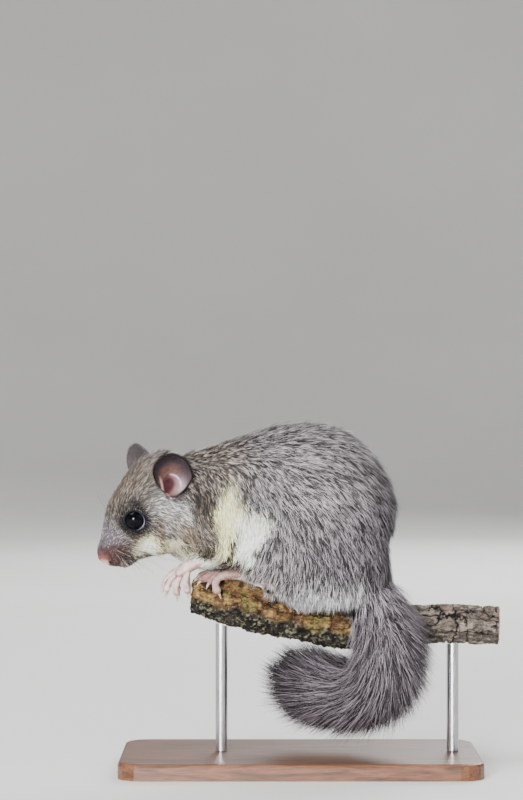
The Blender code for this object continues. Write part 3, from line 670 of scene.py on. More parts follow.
def cut(obj, cutters, operation="DIFFERENCE"):
    """One Boolean with closed objects, which are then removed."""
    group = bpy.data.collections.new("cutters")
    for cutter in cutters:
        group.objects.link(cutter)
    modifier = obj.modifiers.new("cut", "BOOLEAN")
    modifier.operation = operation
    modifier.operand_type = "COLLECTION"
    modifier.collection = group
    modifier.solver = "MANIFOLD"
    bake_modifiers(obj)
    for cutter in cutters:
        bpy.data.objects.remove(cutter)
    bpy.data.collections.remove(group)


def mirrored(rows, way):
    """The rows for the left side, or mirrored for the right."""
    return rows if way < 0 else [(row[0], -row[1], *row[2:]) for row in rows]


def eye_centre(way):
    return np.array((EYE_PLACE[0], way * EYE_PLACE[1], EYE_PLACE[2]))


def eye_gaps(local):
    """Each place's distance from the middle of the left eye, and of the right one."""
    return [np.linalg.norm(local - eye_centre(way), axis=1) for way in WAYS]


def paw_parts(palm, toes, way):
    """A palm, and each toe as a knuckled tube with a pad under its end."""
    parts = [body_of(mirrored(palm, way), *PALM_GRID)]
    for radius, points in toes:
        path = spline(mirrored(points, way), len(TOE_SWELLING))
        parts.append(tube(path, radius * np.array(TOE_SWELLING), *TOE_GRID))
        pad = path[-2] + np.array((0.15, 0, -0.15))
        parts.append(ball(pad, (radius * 1.05, radius, radius * 1.05), 2))
    return parts


def claw_parts(toes, way):
    """A claw on each toe, ahead of its tip and then hooked down."""
    parts = []
    for _, points in toes:
        path = np.array(mirrored(points, way), float)
        ahead = unit(path[-1] - path[-2])
        down = unit(ahead + np.array((0, 0, -1.1)))
        hook = [
            path[-1] - ahead * 0.5,
            path[-1] + ahead * CLAW_LENGTH * 0.35,
            path[-1] + ahead * CLAW_LENGTH * 0.6 + down * CLAW_LENGTH * 0.35,
            path[-1] + ahead * CLAW_LENGTH * 0.65 + down * CLAW_LENGTH * 0.8,
        ]
        parts.append(tube(hook, (0.5, 0.46, 0.3, 0.05), *CLAW_GRID))
    return parts


def lid_parts(way):
    """The two lids as one ring of skin that lies on the eyeball."""
    turn = Vector((EYE_AXIS[0], way * EYE_AXIS[1], EYE_AXIS[2])).to_track_quat("Z", "X")
    across = len(LID_SECTION)
    points, faces = [], []
    for i in range(LID_SIDES):
        bearing = 2 * math.pi * i / LID_SIDES
        for out, height in LID_SECTION:
            wide = (LID_MARGIN + out) * (1 + 0.035 * math.cos(2 * bearing))
            points.append((wide * math.cos(bearing), wide * math.sin(bearing), height))
        here, ahead = i * across, (i + 1) % LID_SIDES * across
        for k in range(across):
            m = (k + 1) % across
            faces += [(here + k, ahead + k, ahead + m), (here + k, ahead + m, here + m)]
    points = np.array(points) @ np.array(turn.to_matrix()).T + eye_centre(way)
    return facing_out(from_head(points), np.array(faces))


def face_cutters():
    """The groove between the lips, the cleft under the nose, and the nostrils."""
    lines = [(mirrored(line, way), radii) for way in WAYS for line, radii in FACE_GROOVES]
    lines.append(NOSE_CLEFT)
    bodies = [tube(from_head(line), radii, *GROOVE_GRID) for line, radii in lines]
    return [new_object("cutter", *body) for body in bodies]


def ear_centre(way):
    return np.array(EAR_CENTRE) * (1, way, 1)


def ear_axes(way):
    """The ear's tip, rearward and opening directions in the head's frame."""
    mirror = np.array((1, way, 1))
    tip = unit(np.array(EAR_TIP) * mirror)
    opening = np.array(EAR_OPENING) * mirror
    opening = unit(opening - tip * (opening @ tip))
    return tip, np.cross(tip, opening) * -way, opening


def ear_pit(wide, tall):
    """1 in the middle of the ear's pit, which runs out downwards, and 0 well away from it."""
    half_height = EAR_PIT_RADIUS + 1.4 * (tall < EAR_PIT[1])
    across, up = (wide - EAR_PIT[0]) / EAR_PIT_RADIUS, (tall - EAR_PIT[1]) / half_height
    return np.exp(-across ** 2 - up ** 2)


def ear_grid():
    """The ear's cup on a polar grid: across, up, depth of its inner and outer wall, and folds."""
    reach = np.linspace(0.02, 1, EAR_RINGS)[:, None]
    turn = np.linspace(0, 2 * math.pi, EAR_SIDES, endpoint=False)[None, :]
    low = np.maximum(0, -np.sin(turn))
    narrow = 1 - EAR_NARROWING * low**EAR_SHOULDER
    wide = EAR_HALF_WIDTH * narrow * np.cos(turn) * reach * (1 + 0.012 * np.sin(7 * turn + 1))
    tall = EAR_HALF_HEIGHT * np.sin(turn) * reach * (1 + 0.010 * np.sin(9 * turn))
    bowl = EAR_DEPTH * (1 - reach**2.2) - 0.8 * low * reach**3
    rear_of_pit, over_pit = wide - EAR_PIT[0], tall - EAR_PIT[1]
    from_pit = np.hypot(rear_of_pit, over_pit)
    bearing = (over_pit * 0.64 + rear_of_pit * 0.77) / np.maximum(from_pit, 0.5)
    ridged = 0.7 * smooth_step(-0.1, 0.5, bearing) * smooth_step(1.9, 2.7, from_pit)
    ridged = ridged * fade(4.4, 6.4, from_pit)
    wavy = from_pit + 0.35 * np.sin(1.3 * wide + 0.5) + 0.2 * np.sin(2.1 * tall)
    fold = np.cos((wavy - FOLD_START) * 2 * math.pi / FOLD_SPACING) * ridged
    pit = ear_pit(wide, tall)
    edge = reach + 0 * turn
    lip = smooth_step(0.92, 0.98, edge) * fade(0.985, 1.0, edge)
    inner = bowl + EAR_PIT_DEPTH * pit - FOLD_HEIGHT * fold - 0.4 * lip
    thick = EAR_WALL * (1 - 0.35 * reach) + 1.0 * low * (1 - reach)
    outer = np.maximum(bowl, inner) + thick
    return wide, tall, inner, outer, fold, pit, edge


def ear_place(way, wide, tall, depth):
    """Points in the head's frame from places across, up and into the ear's cup."""
    tip, rear, opening = ear_axes(way)
    place = wide[..., None] * rear + tall[..., None] * tip - depth[..., None] * opening
    return (place + ear_centre(way)).reshape(-1, 3)


def ring_faces(first, rings, sides):
    """Triangles between neighbouring rings of a grid whose points start at this number."""
    row = np.arange(sides)
    a = first + (np.arange(rings - 1)[:, None] * sides + row).ravel()
    b = first + (np.arange(rings - 1)[:, None] * sides + (row + 1) % sides).ravel()
    halves = (a, b, b + sides), (a, b + sides, a + sides)
    return np.vstack([np.stack(half, axis=1) for half in halves])


def fan_faces(middle, first, sides):
    """Triangles from one middle point to the ring whose points start at this number."""
    row = np.arange(sides)
    return np.stack([np.full(sides, middle), first + (row + 1) % sides, first + row], axis=1)


def ear_faces():
    """Triangles of the ear's inner and outer wall, with their middles and the edge between them."""
    row = np.arange(EAR_SIDES)
    last = EAR_WALL_POINTS - EAR_SIDES + row
    after = EAR_WALL_POINTS - EAR_SIDES + (row + 1) % EAR_SIDES
    return np.vstack([
        ring_faces(0, EAR_RINGS, EAR_SIDES),
        ring_faces(EAR_WALL_POINTS, EAR_RINGS, EAR_SIDES)[:, ::-1],
        fan_faces(2 * EAR_WALL_POINTS, 0, EAR_SIDES),
        fan_faces(2 * EAR_WALL_POINTS + 1, EAR_WALL_POINTS, EAR_SIDES)[:, ::-1],
        np.stack([last, after, EAR_WALL_POINTS + after], axis=1),
        np.stack([last, EAR_WALL_POINTS + after, EAR_WALL_POINTS + last], axis=1),
    ])


def ear_colours(wide, tall, fold, pit, edge):
    """The colours of the ear's inner wall: painted shade in front and above, pink and ridged
    behind.
    """
    rear_of_pit, over_pit = wide - EAR_PIT[0], tall - EAR_PIT[1]
    rear = smooth_step(-0.5, 1.5, rear_of_pit)
    # painted shadow towards the top and front of the cup
    top_shade = smooth_step(0.1, 0.8, edge) * smooth_step(-4.5, 1.5, tall - 0.45 * wide)
    halo = np.exp(-((np.hypot(rear_of_pit, over_pit) - 2.8) / 1.2) ** 2)
    arch = np.hypot(rear_of_pit, 1.42 * over_pit)
    # a painted highlight along an arc over the pit
    arc = np.exp(-((arch - 4.8) / 0.42) ** 2) * rear * smooth_step(-1.5, 1.0, over_pit)
    front = np.exp(-((wide + 5.5 + 0.34 * tall) / 0.28) ** 2) * smooth_step(1.0, 3.5, -tall)
    low_front = smooth_step(4.0, 6.0, -tall) * smooth_step(0.0, 1.0, -wide)
    return painted(EAR_INSIDE, [
        (EAR_SHADE, 0.97 * top_shade * (1 - 0.4 * smooth_step(0, 4, wide))),
        (EAR_MAUVE, np.exp(-((wide - 3.4) ** 2 + (tall + 5.0) ** 2) / 8)),
        (EAR_WARM, 0.75 * np.exp(-((wide + 0.6) ** 2 / 8 + (tall - 0.8) ** 2 / 2.5))),
        (EAR_WARM, 0.7 * np.exp(-((wide + 3.9) ** 2 / 2 + (tall + 1.2) ** 2 / 5))),
        (EAR_PINK, 0.7 * halo * (0.1 + 0.9 * rear)),
        # painted highlights on the crests of the folds and along the arc
        (EAR_HIGHLIGHT, 0.2 * rear * np.maximum(fold, 0) ** 3),
        (EAR_HIGHLIGHT, 0.75 * arc),
        (EAR_PIT_RED, np.clip(1.5 * pit, 0, 1)),
        (EAR_EDGE, 0.7 * front),
        (EAR_RIM, 0.85 * smooth_step(0.92, 0.98, edge) * (1 - low_front)),
    ])


def ear_surface(way):
    """The ear as a thin closed cup with its pit, folds and rolled rim, and its colours."""
    wide, tall, inner, outer, *relief = ear_grid()
    walls = [ear_place(way, wide, tall, inner), ear_place(way, wide * 1.02, tall * 1.02, outer)]
    points = np.vstack([*walls, *(wall[:EAR_SIDES].mean(axis=0) for wall in walls)])
    front = ear_colours(*(part.reshape(-1) for part in (wide, tall, *relief)))
    front = front * (1 + 0.16 * lattice_noise(walls[0], 0.7, 61))[:, None]
    back = np.tile(EAR_BACK, (EAR_WALL_POINTS, 1))
    colours = np.vstack([front, back, EAR_PIT_RED, EAR_BACK])
    return (*facing_out(from_head(points), ear_faces()), colours)


def ear_plug(way):
    """What is cut out of the head so that nothing fills the ear's cup."""
    wide, tall, inner, outer, *_ = ear_grid()
    wall = ear_place(way, wide, tall, inner * 0.4 + outer * 0.6)
    front = ear_place(way, *(np.array([[value]]) for value in (0.0, 0.0, -3.0)))
    points = np.vstack([wall, wall[:EAR_SIDES].mean(axis=0), front])
    faces = np.vstack([
        ring_faces(0, EAR_RINGS, EAR_SIDES),
        fan_faces(EAR_WALL_POINTS, 0, EAR_SIDES),
        fan_faces(EAR_WALL_POINTS + 1, EAR_WALL_POINTS - EAR_SIDES, EAR_SIDES)[:, ::-1],
    ])
    return facing_out(from_head(points), faces)


def ear_root(way):
    """The thick foot of the ear, sunk in the head."""
    tip, _, opening = ear_axes(way)
    back = ear_centre(way) - opening * (EAR_DEPTH + 2.0)
    line = [(0, way * 8.5, 2.0), (1.6, way * 12.0, 5.0), back - tip * 4.2, back + tip * 1.4]
    return tube(from_head(line), (4.2, 4.0, 2.9, 1.0), *EAR_ROOT_GRID)


def coat_depth(points):
    """How deep the skin lies under the tips of the coat: less on the muzzle and round the eyes."""
    places, depths = [], []
    for name, depth in COAT_DEPTH.items():
        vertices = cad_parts[name].data.vertices
        places += [v.co.copy() for v in vertices]
        depths += [depth] * len(vertices)
    number, _ = nearest([Vector(p) * MM for p in points], places)
    depth = np.array(depths)[number]
    local = to_head(points)
    depth *= 0.25 + 0.75 * smooth_step(-31, -20, local[:, 0])
    for gap in eye_gaps(local):
        depth *= 0.2 + 0.8 * smooth_step(5.0, 8.0, gap)
    return depth


def fused_flesh():
    """The furred solids, swollen a little, with eyeballs, paws and a nose, as one surface."""
    parts = []
    for name, depth in COAT_DEPTH.items():
        if depth > 0:
            points, normals, triangles = mesh_arrays(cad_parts[name].data)
            parts.append((points + normals * NODE_SWELL, triangles))
    for way in WAYS:
        parts.append(head_ball(eye_centre(way), (EYE_RADIUS + 0.3,) * 3))
        parts += paw_parts(FOREPALM, FORETOES, way) + paw_parts(HINDPALM, HINDTOES, way)
    parts += [head_ball(centre, radii) for centre, radii in NOSE_LUMPS]
    return remeshed(new_object("dormouse_skin", *joined(parts)), SKIN_VOXEL)


def sink_skin(skin):
    """Smooth the fused skin and sink it to the roots of the coat."""
    points, _, _ = mesh_arrays(skin.data)
    edges = edges_of(skin.data)
    depth = spread(coat_depth(points), edges, 14)[:, 0]
    easing = 0.12 + 0.5 * smooth_step(0.1, 0.9, depth)
    set_points(skin.data, spread(points, edges, 12, easing))
    points, normals, _ = mesh_arrays(skin.data)
    set_points(skin.data, spread(points - normals * depth[:, None], edges, 4, easing))


def add_features(skin):
    """Join the tail, lids and ear roots, and cut the eye sockets, ear cups, lips and nostrils."""
    share = np.linspace(0, 1, TAIL_STATIONS)
    radii = TAIL_RADIUS * np.sqrt(np.clip((1.03 - share) / 0.12, 0.1, 1))
    additions = [new_object("tail", *tube(spline(TAIL, TAIL_STATIONS), radii, *TAIL_GRID))]
    additions += [new_object("lids", *lid_parts(way)) for way in WAYS]
    additions += [new_object("ear_root", *ear_root(way)) for way in WAYS]
    cut(skin, additions, "UNION")
    hollow = (EYE_RADIUS + SOCKET_GAP,) * 3
    sockets = [new_object("socket", *head_ball(eye_centre(way), hollow, 5)) for way in WAYS]
    plugs = [new_object("plug", *ear_plug(way)) for way in WAYS]
    cut(skin, sockets + plugs + face_cutters())


def thin_skin(skin):
    """Leave fewer triangles where the coat is thick, and most of them on the face and paws."""
    points, _, _ = mesh_arrays(skin.data)
    face = fade(-17, -6, to_head(points)[:, 0])
    paw = fade(70, 79, points[:, 2] + 1.4 * np.maximum(points[:, 0] + 20, 0))
    coarse = np.round((1 - np.maximum(face, paw)) * THINNING_STEPS)
    group = skin.vertex_groups.new(name="coarse")
    for step in range(THINNING_STEPS + 1):
        group.add(np.nonzero(coarse == step)[0].tolist(), step / THINNING_STEPS, "REPLACE")
    thin = skin.modifiers.new("thin", "DECIMATE")
    thin.ratio = SKIN_LEFT
    thin.vertex_group = "coarse"
    thin.vertex_group_factor = 1.0
    bake_modifiers(skin)
    skin.vertex_groups.clear()


def make_skin():
    """One closed skin under the whole coat, with lids, lips, nostrils and toes."""
    skin = fused_flesh()
    sink_skin(skin)
    add_features(skin)
    thin_skin(skin)
    return skin


def head_share(local):
    """1 on the head, 0 on the neck behind it and on the paws under it."""
    return fade(-4, 5, local[:, 0]) * smooth_step(-17.5, -15, local[:, 2])


def inside(points, centre, radii, soft=0.35):
    """1 well inside an ellipsoid and 0 outside, with a soft edge; a radius of None is endless."""
    gap = np.zeros(len(points))
    for axis, radius in enumerate(radii):
        if radius is not None:
            gap += ((points[:, axis] - centre[axis]) / radius) ** 2
    return fade(1 - soft, 1 + soft, np.sqrt(gap))


def blend(base, colour, weight):
    return base + (colour - base) * weight[:, None]


def painted(colour, layers):
    """The colour with layers of (colour, weight) laid over it one by one."""
    for tint, weight in layers:
        colour = blend(colour, tint, weight)
    return colour


def patch_layers(places, patches):
    """Layers for painted from patches of (colour, strength, middle, radii, softness)."""
    return [(tint, strength * inside(places, *shape)) for tint, strength, *shape in patches]


def crease_share(points):
    """1 along the fold between the arm and the thigh."""
    x = points[:, 0] - CREASE_LEAN * (points[:, 2] - CREASE_MIDDLE[1])
    across = np.stack([x, points[:, 1], points[:, 2]], axis=1)
    return inside(across, (CREASE_MIDDLE[0], 0, CREASE_MIDDLE[1]), CREASE_RADII, 0.6)


def body_colours(points, world):
    """The coat's tips on body and tail; world is the same places, mirrored and ragged."""
    x, y, z = world.T
    rear_edge = WHITE_CORNER[0] + WHITE_LEAN * (z - WHITE_CORNER[1])
    flank = fade(-1.4, 1.4, x - rear_edge) * smooth_step(-25, -22.5, x)
    flank = flank * fade(92, 100, z) * smooth_step(72.5, 75, z)
    belly = fade(68, 74, z) * fade(4, 8, y)
    chest = smooth_step(0, 8, 13 - y) * fade(80, 92, z)
    lower_arm = fade(77, 79.5, z) * fade(-25, -21, x)
    tail = tail_share(points)
    # Painted shadow: the tail darker towards its end and at its lowest part
    tail_end_shadow = 0.8 * fade(0, 26, x)
    low_tail_shadow = 0.35 * fade(30, 56, z)
    return painted(BACK, [
        *patch_layers(world, BACK_PATCHES),
        (WHITE, flank),
        # painted shadow along the fold between the arm and the thigh
        (CREASE_SHADOW, 0.9 * crease_share(points)),
        (WHITE, belly * fade(-14, -6, x)),
        *patch_layers(world, LOW_PATCHES),
        (CREAM, chest * fade(-32, -22, x)),
        (WHITE, lower_arm),
        *patch_layers(world, ARM_SHADOW_PATCHES),
        (TAIL_GREY, tail),
        (TAIL_SHADOW, tail * np.maximum(tail_end_shadow, low_tail_shadow)),
    ])


def head_colours(points, local, ragged):
    """The coat's tips on the head; local is the same places in the head's frame, mirrored."""
    x, y, z = local.T
    across = (x - STREAK_TOP[0]) * STREAK_ACROSS[0] - (z - STREAK_TOP[1]) * STREAK_ACROSS[1]
    streak = np.exp(-((across / STREAK_HALF_WIDTH) ** 2)) * (y > 5)
    streak = streak * smooth_step(-13, -9, z) * fade(0.5, 3, z)
    spots = smooth_step(0.1, 0.5, lattice_noise(points, 1.1, 71))
    pad = inside(local, (-28.2, 5, -1.2), (3.2, 5, 3.0), 0.5)
    from_eye = np.linalg.norm(local - eye_centre(1), axis=1) + 0.25 * ragged
    return painted(SPECKLED, [
        *patch_layers(local, HEAD_PATCHES),
        (STREAK, 0.95 * streak),
        *patch_layers(local, MUZZLE_PATCHES),
        (PAD_RED, (0.4 + 0.6 * spots) * pad),
        (DARK, fade(5.0, 6.6, from_eye)),
    ])


def markings(points):
    """The colour of the coat's tips at these points, the same on both sides."""
    ragged = 1.6 * lattice_noise(points, 4.0, 3)
    world = on_one_side(points) + ragged[:, None]
    local = on_one_side(to_head(points)) + 0.5 * ragged[:, None]
    return painted(body_colours(points, world), [
        (head_colours(points, local, ragged), head_share(local)),
        (PAW_HAIR, bare_paw(points)),
    ])


TAIL_POINTS = spline(TAIL, TAIL_HAIR_STATIONS)


def tail_place(points):
    """The nearest point of the tail's centreline for each point, as an index and a distance."""
    return nearest(points, TAIL_POINTS)


def tail_share(points):
    """1 on the tail, easing to 0 where it leaves the rump."""
    low = points[:, 2] < TAIL_TOP
    share = np.zeros(len(points))
    if low.any():
        index, gap = tail_place(points[low])
        near = fade(5.5, 9.0, gap)
        share[low] = near * smooth_step(8, 48, index)
    return share


def tail_fluff(points, share):
    """How far the hair stands off, from 0 at the rump to 1 along the tail."""
    fluff = np.zeros(len(points))
    on_tail = share > 0
    if on_tail.any():
        index, _ = tail_place(points[on_tail])
        fluff[on_tail] = share[on_tail] * (0.25 + 0.75 * smooth_step(20, 62, index))
    return fluff


def lie_of(points, normals):
    """Which way the hair lies at these points, along the surface."""
    local = to_head(points)
    fields = []
    for places, guides in ((points, BODY_LIE), (local, HEAD_LIE)):
        total = np.zeros((len(points), 3))
        for x, z, degrees in guides:
            gap = (places[:, 0] - x) ** 2 + (places[:, 2] - z) ** 2
            turn = math.radians(degrees)
            way = np.array((math.cos(turn), 0, math.sin(turn)))
            total += way / (gap[:, None] + 4.0) ** 1.6
        fields.append(unit(total))
    on_head = head_share(local)[:, None]
    lie = fields[0] * (1 - on_head) + (fields[1] @ HEAD_TURN.T) * on_head
    share = tail_share(points)
    if share.any():
        index, _ = tail_place(points)
        tangent = unit(np.gradient(TAIL_POINTS, axis=0))
        lie = lie * (1 - share[:, None]) + tangent[index] * share[:, None]
    for way in WAYS:
        out = local - eye_centre(way)
        near = fade(5.5, 8.5, np.linalg.norm(out, axis=1))
        lie = lie + 1.2 * near[:, None] * (unit(out) @ HEAD_TURN.T)
    lie = lie - normals * np.sum(lie * normals, axis=1)[:, None]
    return unit(lie)


def new_material(name, roughness, **sockets):
    """A Principled material, its node tree and its shader."""
    made = bpy.data.materials.new(name)
    made.use_nodes = True
    shader = made.node_tree.nodes["Principled BSDF"]
    shader.inputs["Roughness"].default_value = roughness
    for socket, value in sockets.items():
        shader.inputs[socket.replace("_", " ")].default_value = value
    return made, made.node_tree, shader


def add_node(tree, kind, settings=None, **inputs):
    """A node whose inputs, by name or as in0 and so on, are values or other nodes' sockets."""
    made = tree.nodes.new(kind)
    for name, value in (settings or {}).items():
        setattr(made, name, value)
    for name, value in inputs.items():
        socket = made.inputs[int(name[2:]) if name.startswith("in") else name.replace("_", " ")]
        if isinstance(value, bpy.types.NodeSocket):
            tree.links.new(value, socket)
        else:
            socket.default_value = (*value, 1) if socket.type == "RGBA" else value
    return made


def feed(tree, shader, **sockets):
    """Link nodes' sockets to the shader's."""
    for name, value in sockets.items():
        tree.links.new(value, shader.inputs[name.replace("_", " ")])


def object_place(tree, scale=(1.0, 1.0, 1.0)):
    """The place on the object, stretched by this scale."""
    place = add_node(tree, "ShaderNodeTexCoord").outputs["Object"]
    return add_node(tree, "ShaderNodeMapping", Vector=place, Scale=scale).outputs["Vector"]


def noise_socket(tree, scale, detail, place=None, roughness=0.55, distortion=0.0):
    made = add_node(tree, "ShaderNodeTexNoise", Vector=place or object_place(tree), Scale=scale,
                    Detail=detail, Roughness=roughness, Distortion=distortion)
    return made.outputs["Fac"]


def ramp_socket(tree, value, stops):
    """A colour ramp of (place, colour) stops."""
    made = add_node(tree, "ShaderNodeValToRGB", Fac=value)
    ramp = made.color_ramp
    while len(ramp.elements) < len(stops):
        ramp.elements.new(0.5)
    for element, (place, colour) in zip(ramp.elements, stops):
        element.position = place
        element.color = (*colour, 1)
    return made.outputs["Color"]


def mix_socket(tree, factor, first, second, kind="MIX"):
    settings = {"data_type": "RGBA", "blend_type": kind}
    made = add_node(tree, "ShaderNodeMix", settings, in0=factor, in6=first, in7=second)
    return made.outputs[2]


def map_range(tree, value, low, high, to_low, to_high):
    made = add_node(tree, "ShaderNodeMapRange", Value=value, From_Min=low, From_Max=high,
                    To_Min=to_low, To_Max=to_high)
    return made.outputs["Result"]


def maths(tree, operation, first, second=0.0):
    made = add_node(tree, "ShaderNodeMath", {"operation": operation}, in0=first, in1=second)
    return made.outputs[0]


def marks(tree):
    """The vertex colours and their alpha, by the names Color and Alpha."""
    return add_node(tree, "ShaderNodeAttribute", {"attribute_name": "markings"}).outputs


def shaded(tree, colour, tint):
    """The colour made darker or lighter by a tint round 1."""
    grey = add_node(tree, "ShaderNodeCombineColor", Red=tint, Green=tint, Blue=tint)
    return mix_socket(tree, 1.0, colour, grey.outputs["Color"], "MULTIPLY")


def bump(tree, shader, height, strength, distance):
    made = add_node(tree, "ShaderNodeBump", Height=height, Strength=strength, Distance=distance)
    tree.links.new(made.outputs["Normal"], shader.inputs["Normal"])


def coat_material():
    """Hair in the colours of its markings."""
    made, tree, shader = new_material("fur", 0.5, Specular_IOR_Level=0.22)
    tint = map_range(tree, noise_socket(tree, 900, 2), 0.3, 0.7, 0.82, 1.15)
    feed(tree, shader, Base_Color=shaded(tree, marks(tree)["Color"], tint))
    return made


def skin_material():
    """Soft matt skin with fine wrinkles."""
    made, tree, shader = new_material(
        "skin", 0.6, Specular_IOR_Level=0.14, Subsurface_Weight=0.12, Subsurface_Scale=0.001,
        Subsurface_Radius=(1.0, 0.35, 0.2),
    )
    tint = map_range(tree, noise_socket(tree, 700, 5), 0.3, 0.7, 0.85, 1.12)
    rough = map_range(tree, noise_socket(tree, 500, 3), 0.3, 0.7, 0.5, 0.75)
    feed(tree, shader, Base_Color=shaded(tree, marks(tree)["Color"], tint), Roughness=rough)
    cells = add_node(tree, "ShaderNodeTexVoronoi", {"feature": "DISTANCE_TO_EDGE"},
                     Vector=object_place(tree), Scale=2400.0)
    bump(tree, shader, cells.outputs["Distance"], 0.5, 0.0004)
    return made


def set_colours(mesh, colours, share=1.0):
    """The markings as a colour on each vertex, and a share for the shader as its alpha."""
    attribute = mesh.color_attributes.new("markings", "FLOAT_COLOR", "POINT")
    rgba = np.ones((len(colours), 4), np.float32)
    rgba[:, :3] = colours
    rgba[:, 3] = share
    attribute.data.foreach_set("color", rgba.ravel())


def hollows(points, normals, edges):
    """1 in creases and between toes, 0 on flat and rounded skin."""
    pull = np.sum((spread(points, edges, 14) - points) * normals, axis=1)
    return smooth_step(0.0, 0.11, pull)


def paw_colours(points, normals, hollow):
    """The pink of the bare paws, darker on the hind paws, with painted shade in creases, underneath
    and inwards.
    """
    x, y, z = points.T
    hind = smooth_step(-40, -37, x) + 0.8 * smooth_step(-30, -24, x)
    inner = (x > -40) * smooth_step(-10.2, -8.4, -np.abs(y))
    return painted(PAW_PINK, [
        (PAW_PALE, 0.5 + 0.5 * lattice_noise(points, 1.4, 5)),
        # painted shade in the creases and between the toes
        (PAW_CREASE_SHADE, 0.95 * hollow),
        (HIND_PAW, 0.5 * hind * fade(74, 76, z)),
        # painted shade underneath and on the paws' inner sides
        (PAW_UNDERSIDE_SHADE, 0.75 * smooth_step(-0.1, 0.8, -normals[:, 2])),
        (PAW_INNER_SHADE, 0.6 * inner),
    ])


def lid_layers(local, way):
    """The black of an eye's lids, and a painted reflection: a pale line along the rear of their
    margin.
    """
    out = local - eye_centre(way)
    axis = unit(np.array((EYE_AXIS[0], way * EYE_AXIS[1], EYE_AXIS[2])))
    height = out @ axis
    ring = np.linalg.norm(out - height[:, None] * axis, axis=1)
    margin = fade(0.04, 0.18, np.abs(ring - LID_MARGIN + 0.02)) * (height > 2.2)
    glint_side = smooth_step(-0.1, 0.5, unit(out)[:, 0] * 0.75 - unit(out)[:, 2] * 0.65)
    lid = fade(5.4, 6.4, np.linalg.norm(out, axis=1))
    return [(LID, lid), (EYE_RIM_GLINT, margin * glint_side)]


def skin_colours(points, normals, hollow):
    """The colour of the skin: the coat's own, darkened under fur, partly as painted shade, and pink
    where it is bare.
    """
    tips, local = markings(points), to_head(points)
    # skin under the fur darkened: underfur and painted shade in the gaps between hairs
    under = blend(tips * 0.22 + UNDER * 0.2, tips * 0.7, paleness(tips))
    nose = blend(NOSE_PINK, NOSE_PALE, inside(local, (-33.8, 0, -2.4), (2.4, 4.0, 1.7), 0.5))
    layers = [
        (nose, inside(local, (-32.6, 0, -1.0), (3.4, 4.2, 3.2), 0.3)),
        # Painted shade in the nostrils' openings
        (DARK * 0.3, inside(on_one_side(local), NOSTRIL, (0.55, 1.3, 1.1), 0.4)),
    ]
    for way in WAYS:
        tip, _, _ = ear_axes(way)
        notch = ear_centre(way) - tip * (EAR_HALF_HEIGHT - 0.3)
        layers.append((EAR_NOTCH, inside(local, notch, (3.0, 3.0, 3.0), 0.3)))
    layers.append((paw_colours(points, normals, hollow), bare_paw(points)))
    for way in WAYS:
        layers += lid_layers(local, way)
    return painted(under, layers)


def bare_paw(points):
    """1 on the palms and toes, 0 on furred skin."""
    x, _, z = points.T
    fore = fade(-37.5, -34.5, x) * fade(76.5, 78.5, z)
    fore = fore * fade(-16.5, -14.5, to_head(points)[:, 2])
    hind = fade(-14, -5, x) * fade(73.2, 75.0, z)
    return np.clip(fore + hind * (x > -41), 0, 1)


def foot_shaft(points):
    """0 on the toes and palms, 1 on the shaft of the hind foot behind them."""
    return smooth_step(-27, -24, points[:, 0])


def hair_length(points, local, tail):
    """Length of the hair in millimetres."""
    x, y, z = points.T
    beside = np.abs(y)
    on_head = head_share(local)
    head = 1.0 + 1.6 * smooth_step(-30, -16, local[:, 0]) + 1.5 * smooth_step(-16, 2, local[:, 0])
    for gap in eye_gaps(local):
        head *= 0.4 + 0.6 * smooth_step(5.0, 9.0, gap)
    body = 3.9 + 1.7 * smooth_step(-40, -5, x) + 1.2 * smooth_step(0, 30, x)
    body -= 1.6 * fade(76, 82, z) * smooth_step(8, 11, beside) * (x < -19)
    length = body * (1 - on_head) + head * on_head
    from_tail = np.linalg.norm(points - TAIL_ROOT, axis=1)
    length += 4.0 * fade(6, 20, from_tail) * (1 - tail)
    length += 3.5 * inside(points, (-15, 0, 70), (7, None, 6), 0.5) * smooth_step(4, 8, beside)
    length = length * (1 - tail) + TAIL_HAIR * tail
    length = length * (1 - (0.8 - 0.15 * foot_shaft(points)) * bare_paw(points))
    return length * (1 - 0.6 * crease_share(points))


def scatter(points, normals, triangles, density, rng):
    """Even random roots on the surface: their places and normals."""
    a, b, c = (points[triangles[:, k]] for k in range(3))
    area = np.linalg.norm(np.cross(b - a, c - a), axis=1) / 2
    total = np.cumsum(area * density)
    count = min(int(total[-1]), MOST_TUFTS)
    pick = np.searchsorted(total, (np.arange(count) + rng.random(count)) * total[-1] / count)
    pick = np.minimum(pick, len(triangles) - 1)
    u, v = rng.random(count), rng.random(count)
    over = u + v > 1
    u[over], v[over] = 1 - u[over], 1 - v[over]
    w = (1 - u - v)[:, None]
    u, v = u[:, None], v[:, None]
    corners = triangles[pick]
    root = points[corners[:, 0]] * w + points[corners[:, 1]] * u + points[corners[:, 2]] * v
    normal = normals[corners[:, 0]] * w + normals[corners[:, 1]] * u + normals[corners[:, 2]] * v
    return root, unit(normal)


def unwrap(name, roots, local):
    """Each root's place on an unwrap of its own stretch of skin, round its long axis."""
    if name.startswith("coat_tail"):
        index, _ = tail_place(roots)
        out = roots - TAIL_POINTS[index]
        _, across, up = path_frames(TAIL_POINTS, (0.25, 1, 0.1))
        along = index
        around = np.arctan2(np.sum(out * across[index], axis=1), np.sum(out * up[index], axis=1))
    elif name in ("coat_face", "coat_head"):
        along, around = local[:, 0], np.arctan2(local[:, 1], local[:, 2])
    else:
        along, around = roots[:, 0], np.arctan2(roots[:, 1], roots[:, 2] - BODY_MIDDLE)
    flat = np.stack([along, around], axis=1)
    low, high = flat.min(axis=0), flat.max(axis=0)
    return UNWRAP_START + UNWRAP_SPAN * (flat - low) / (high - low)


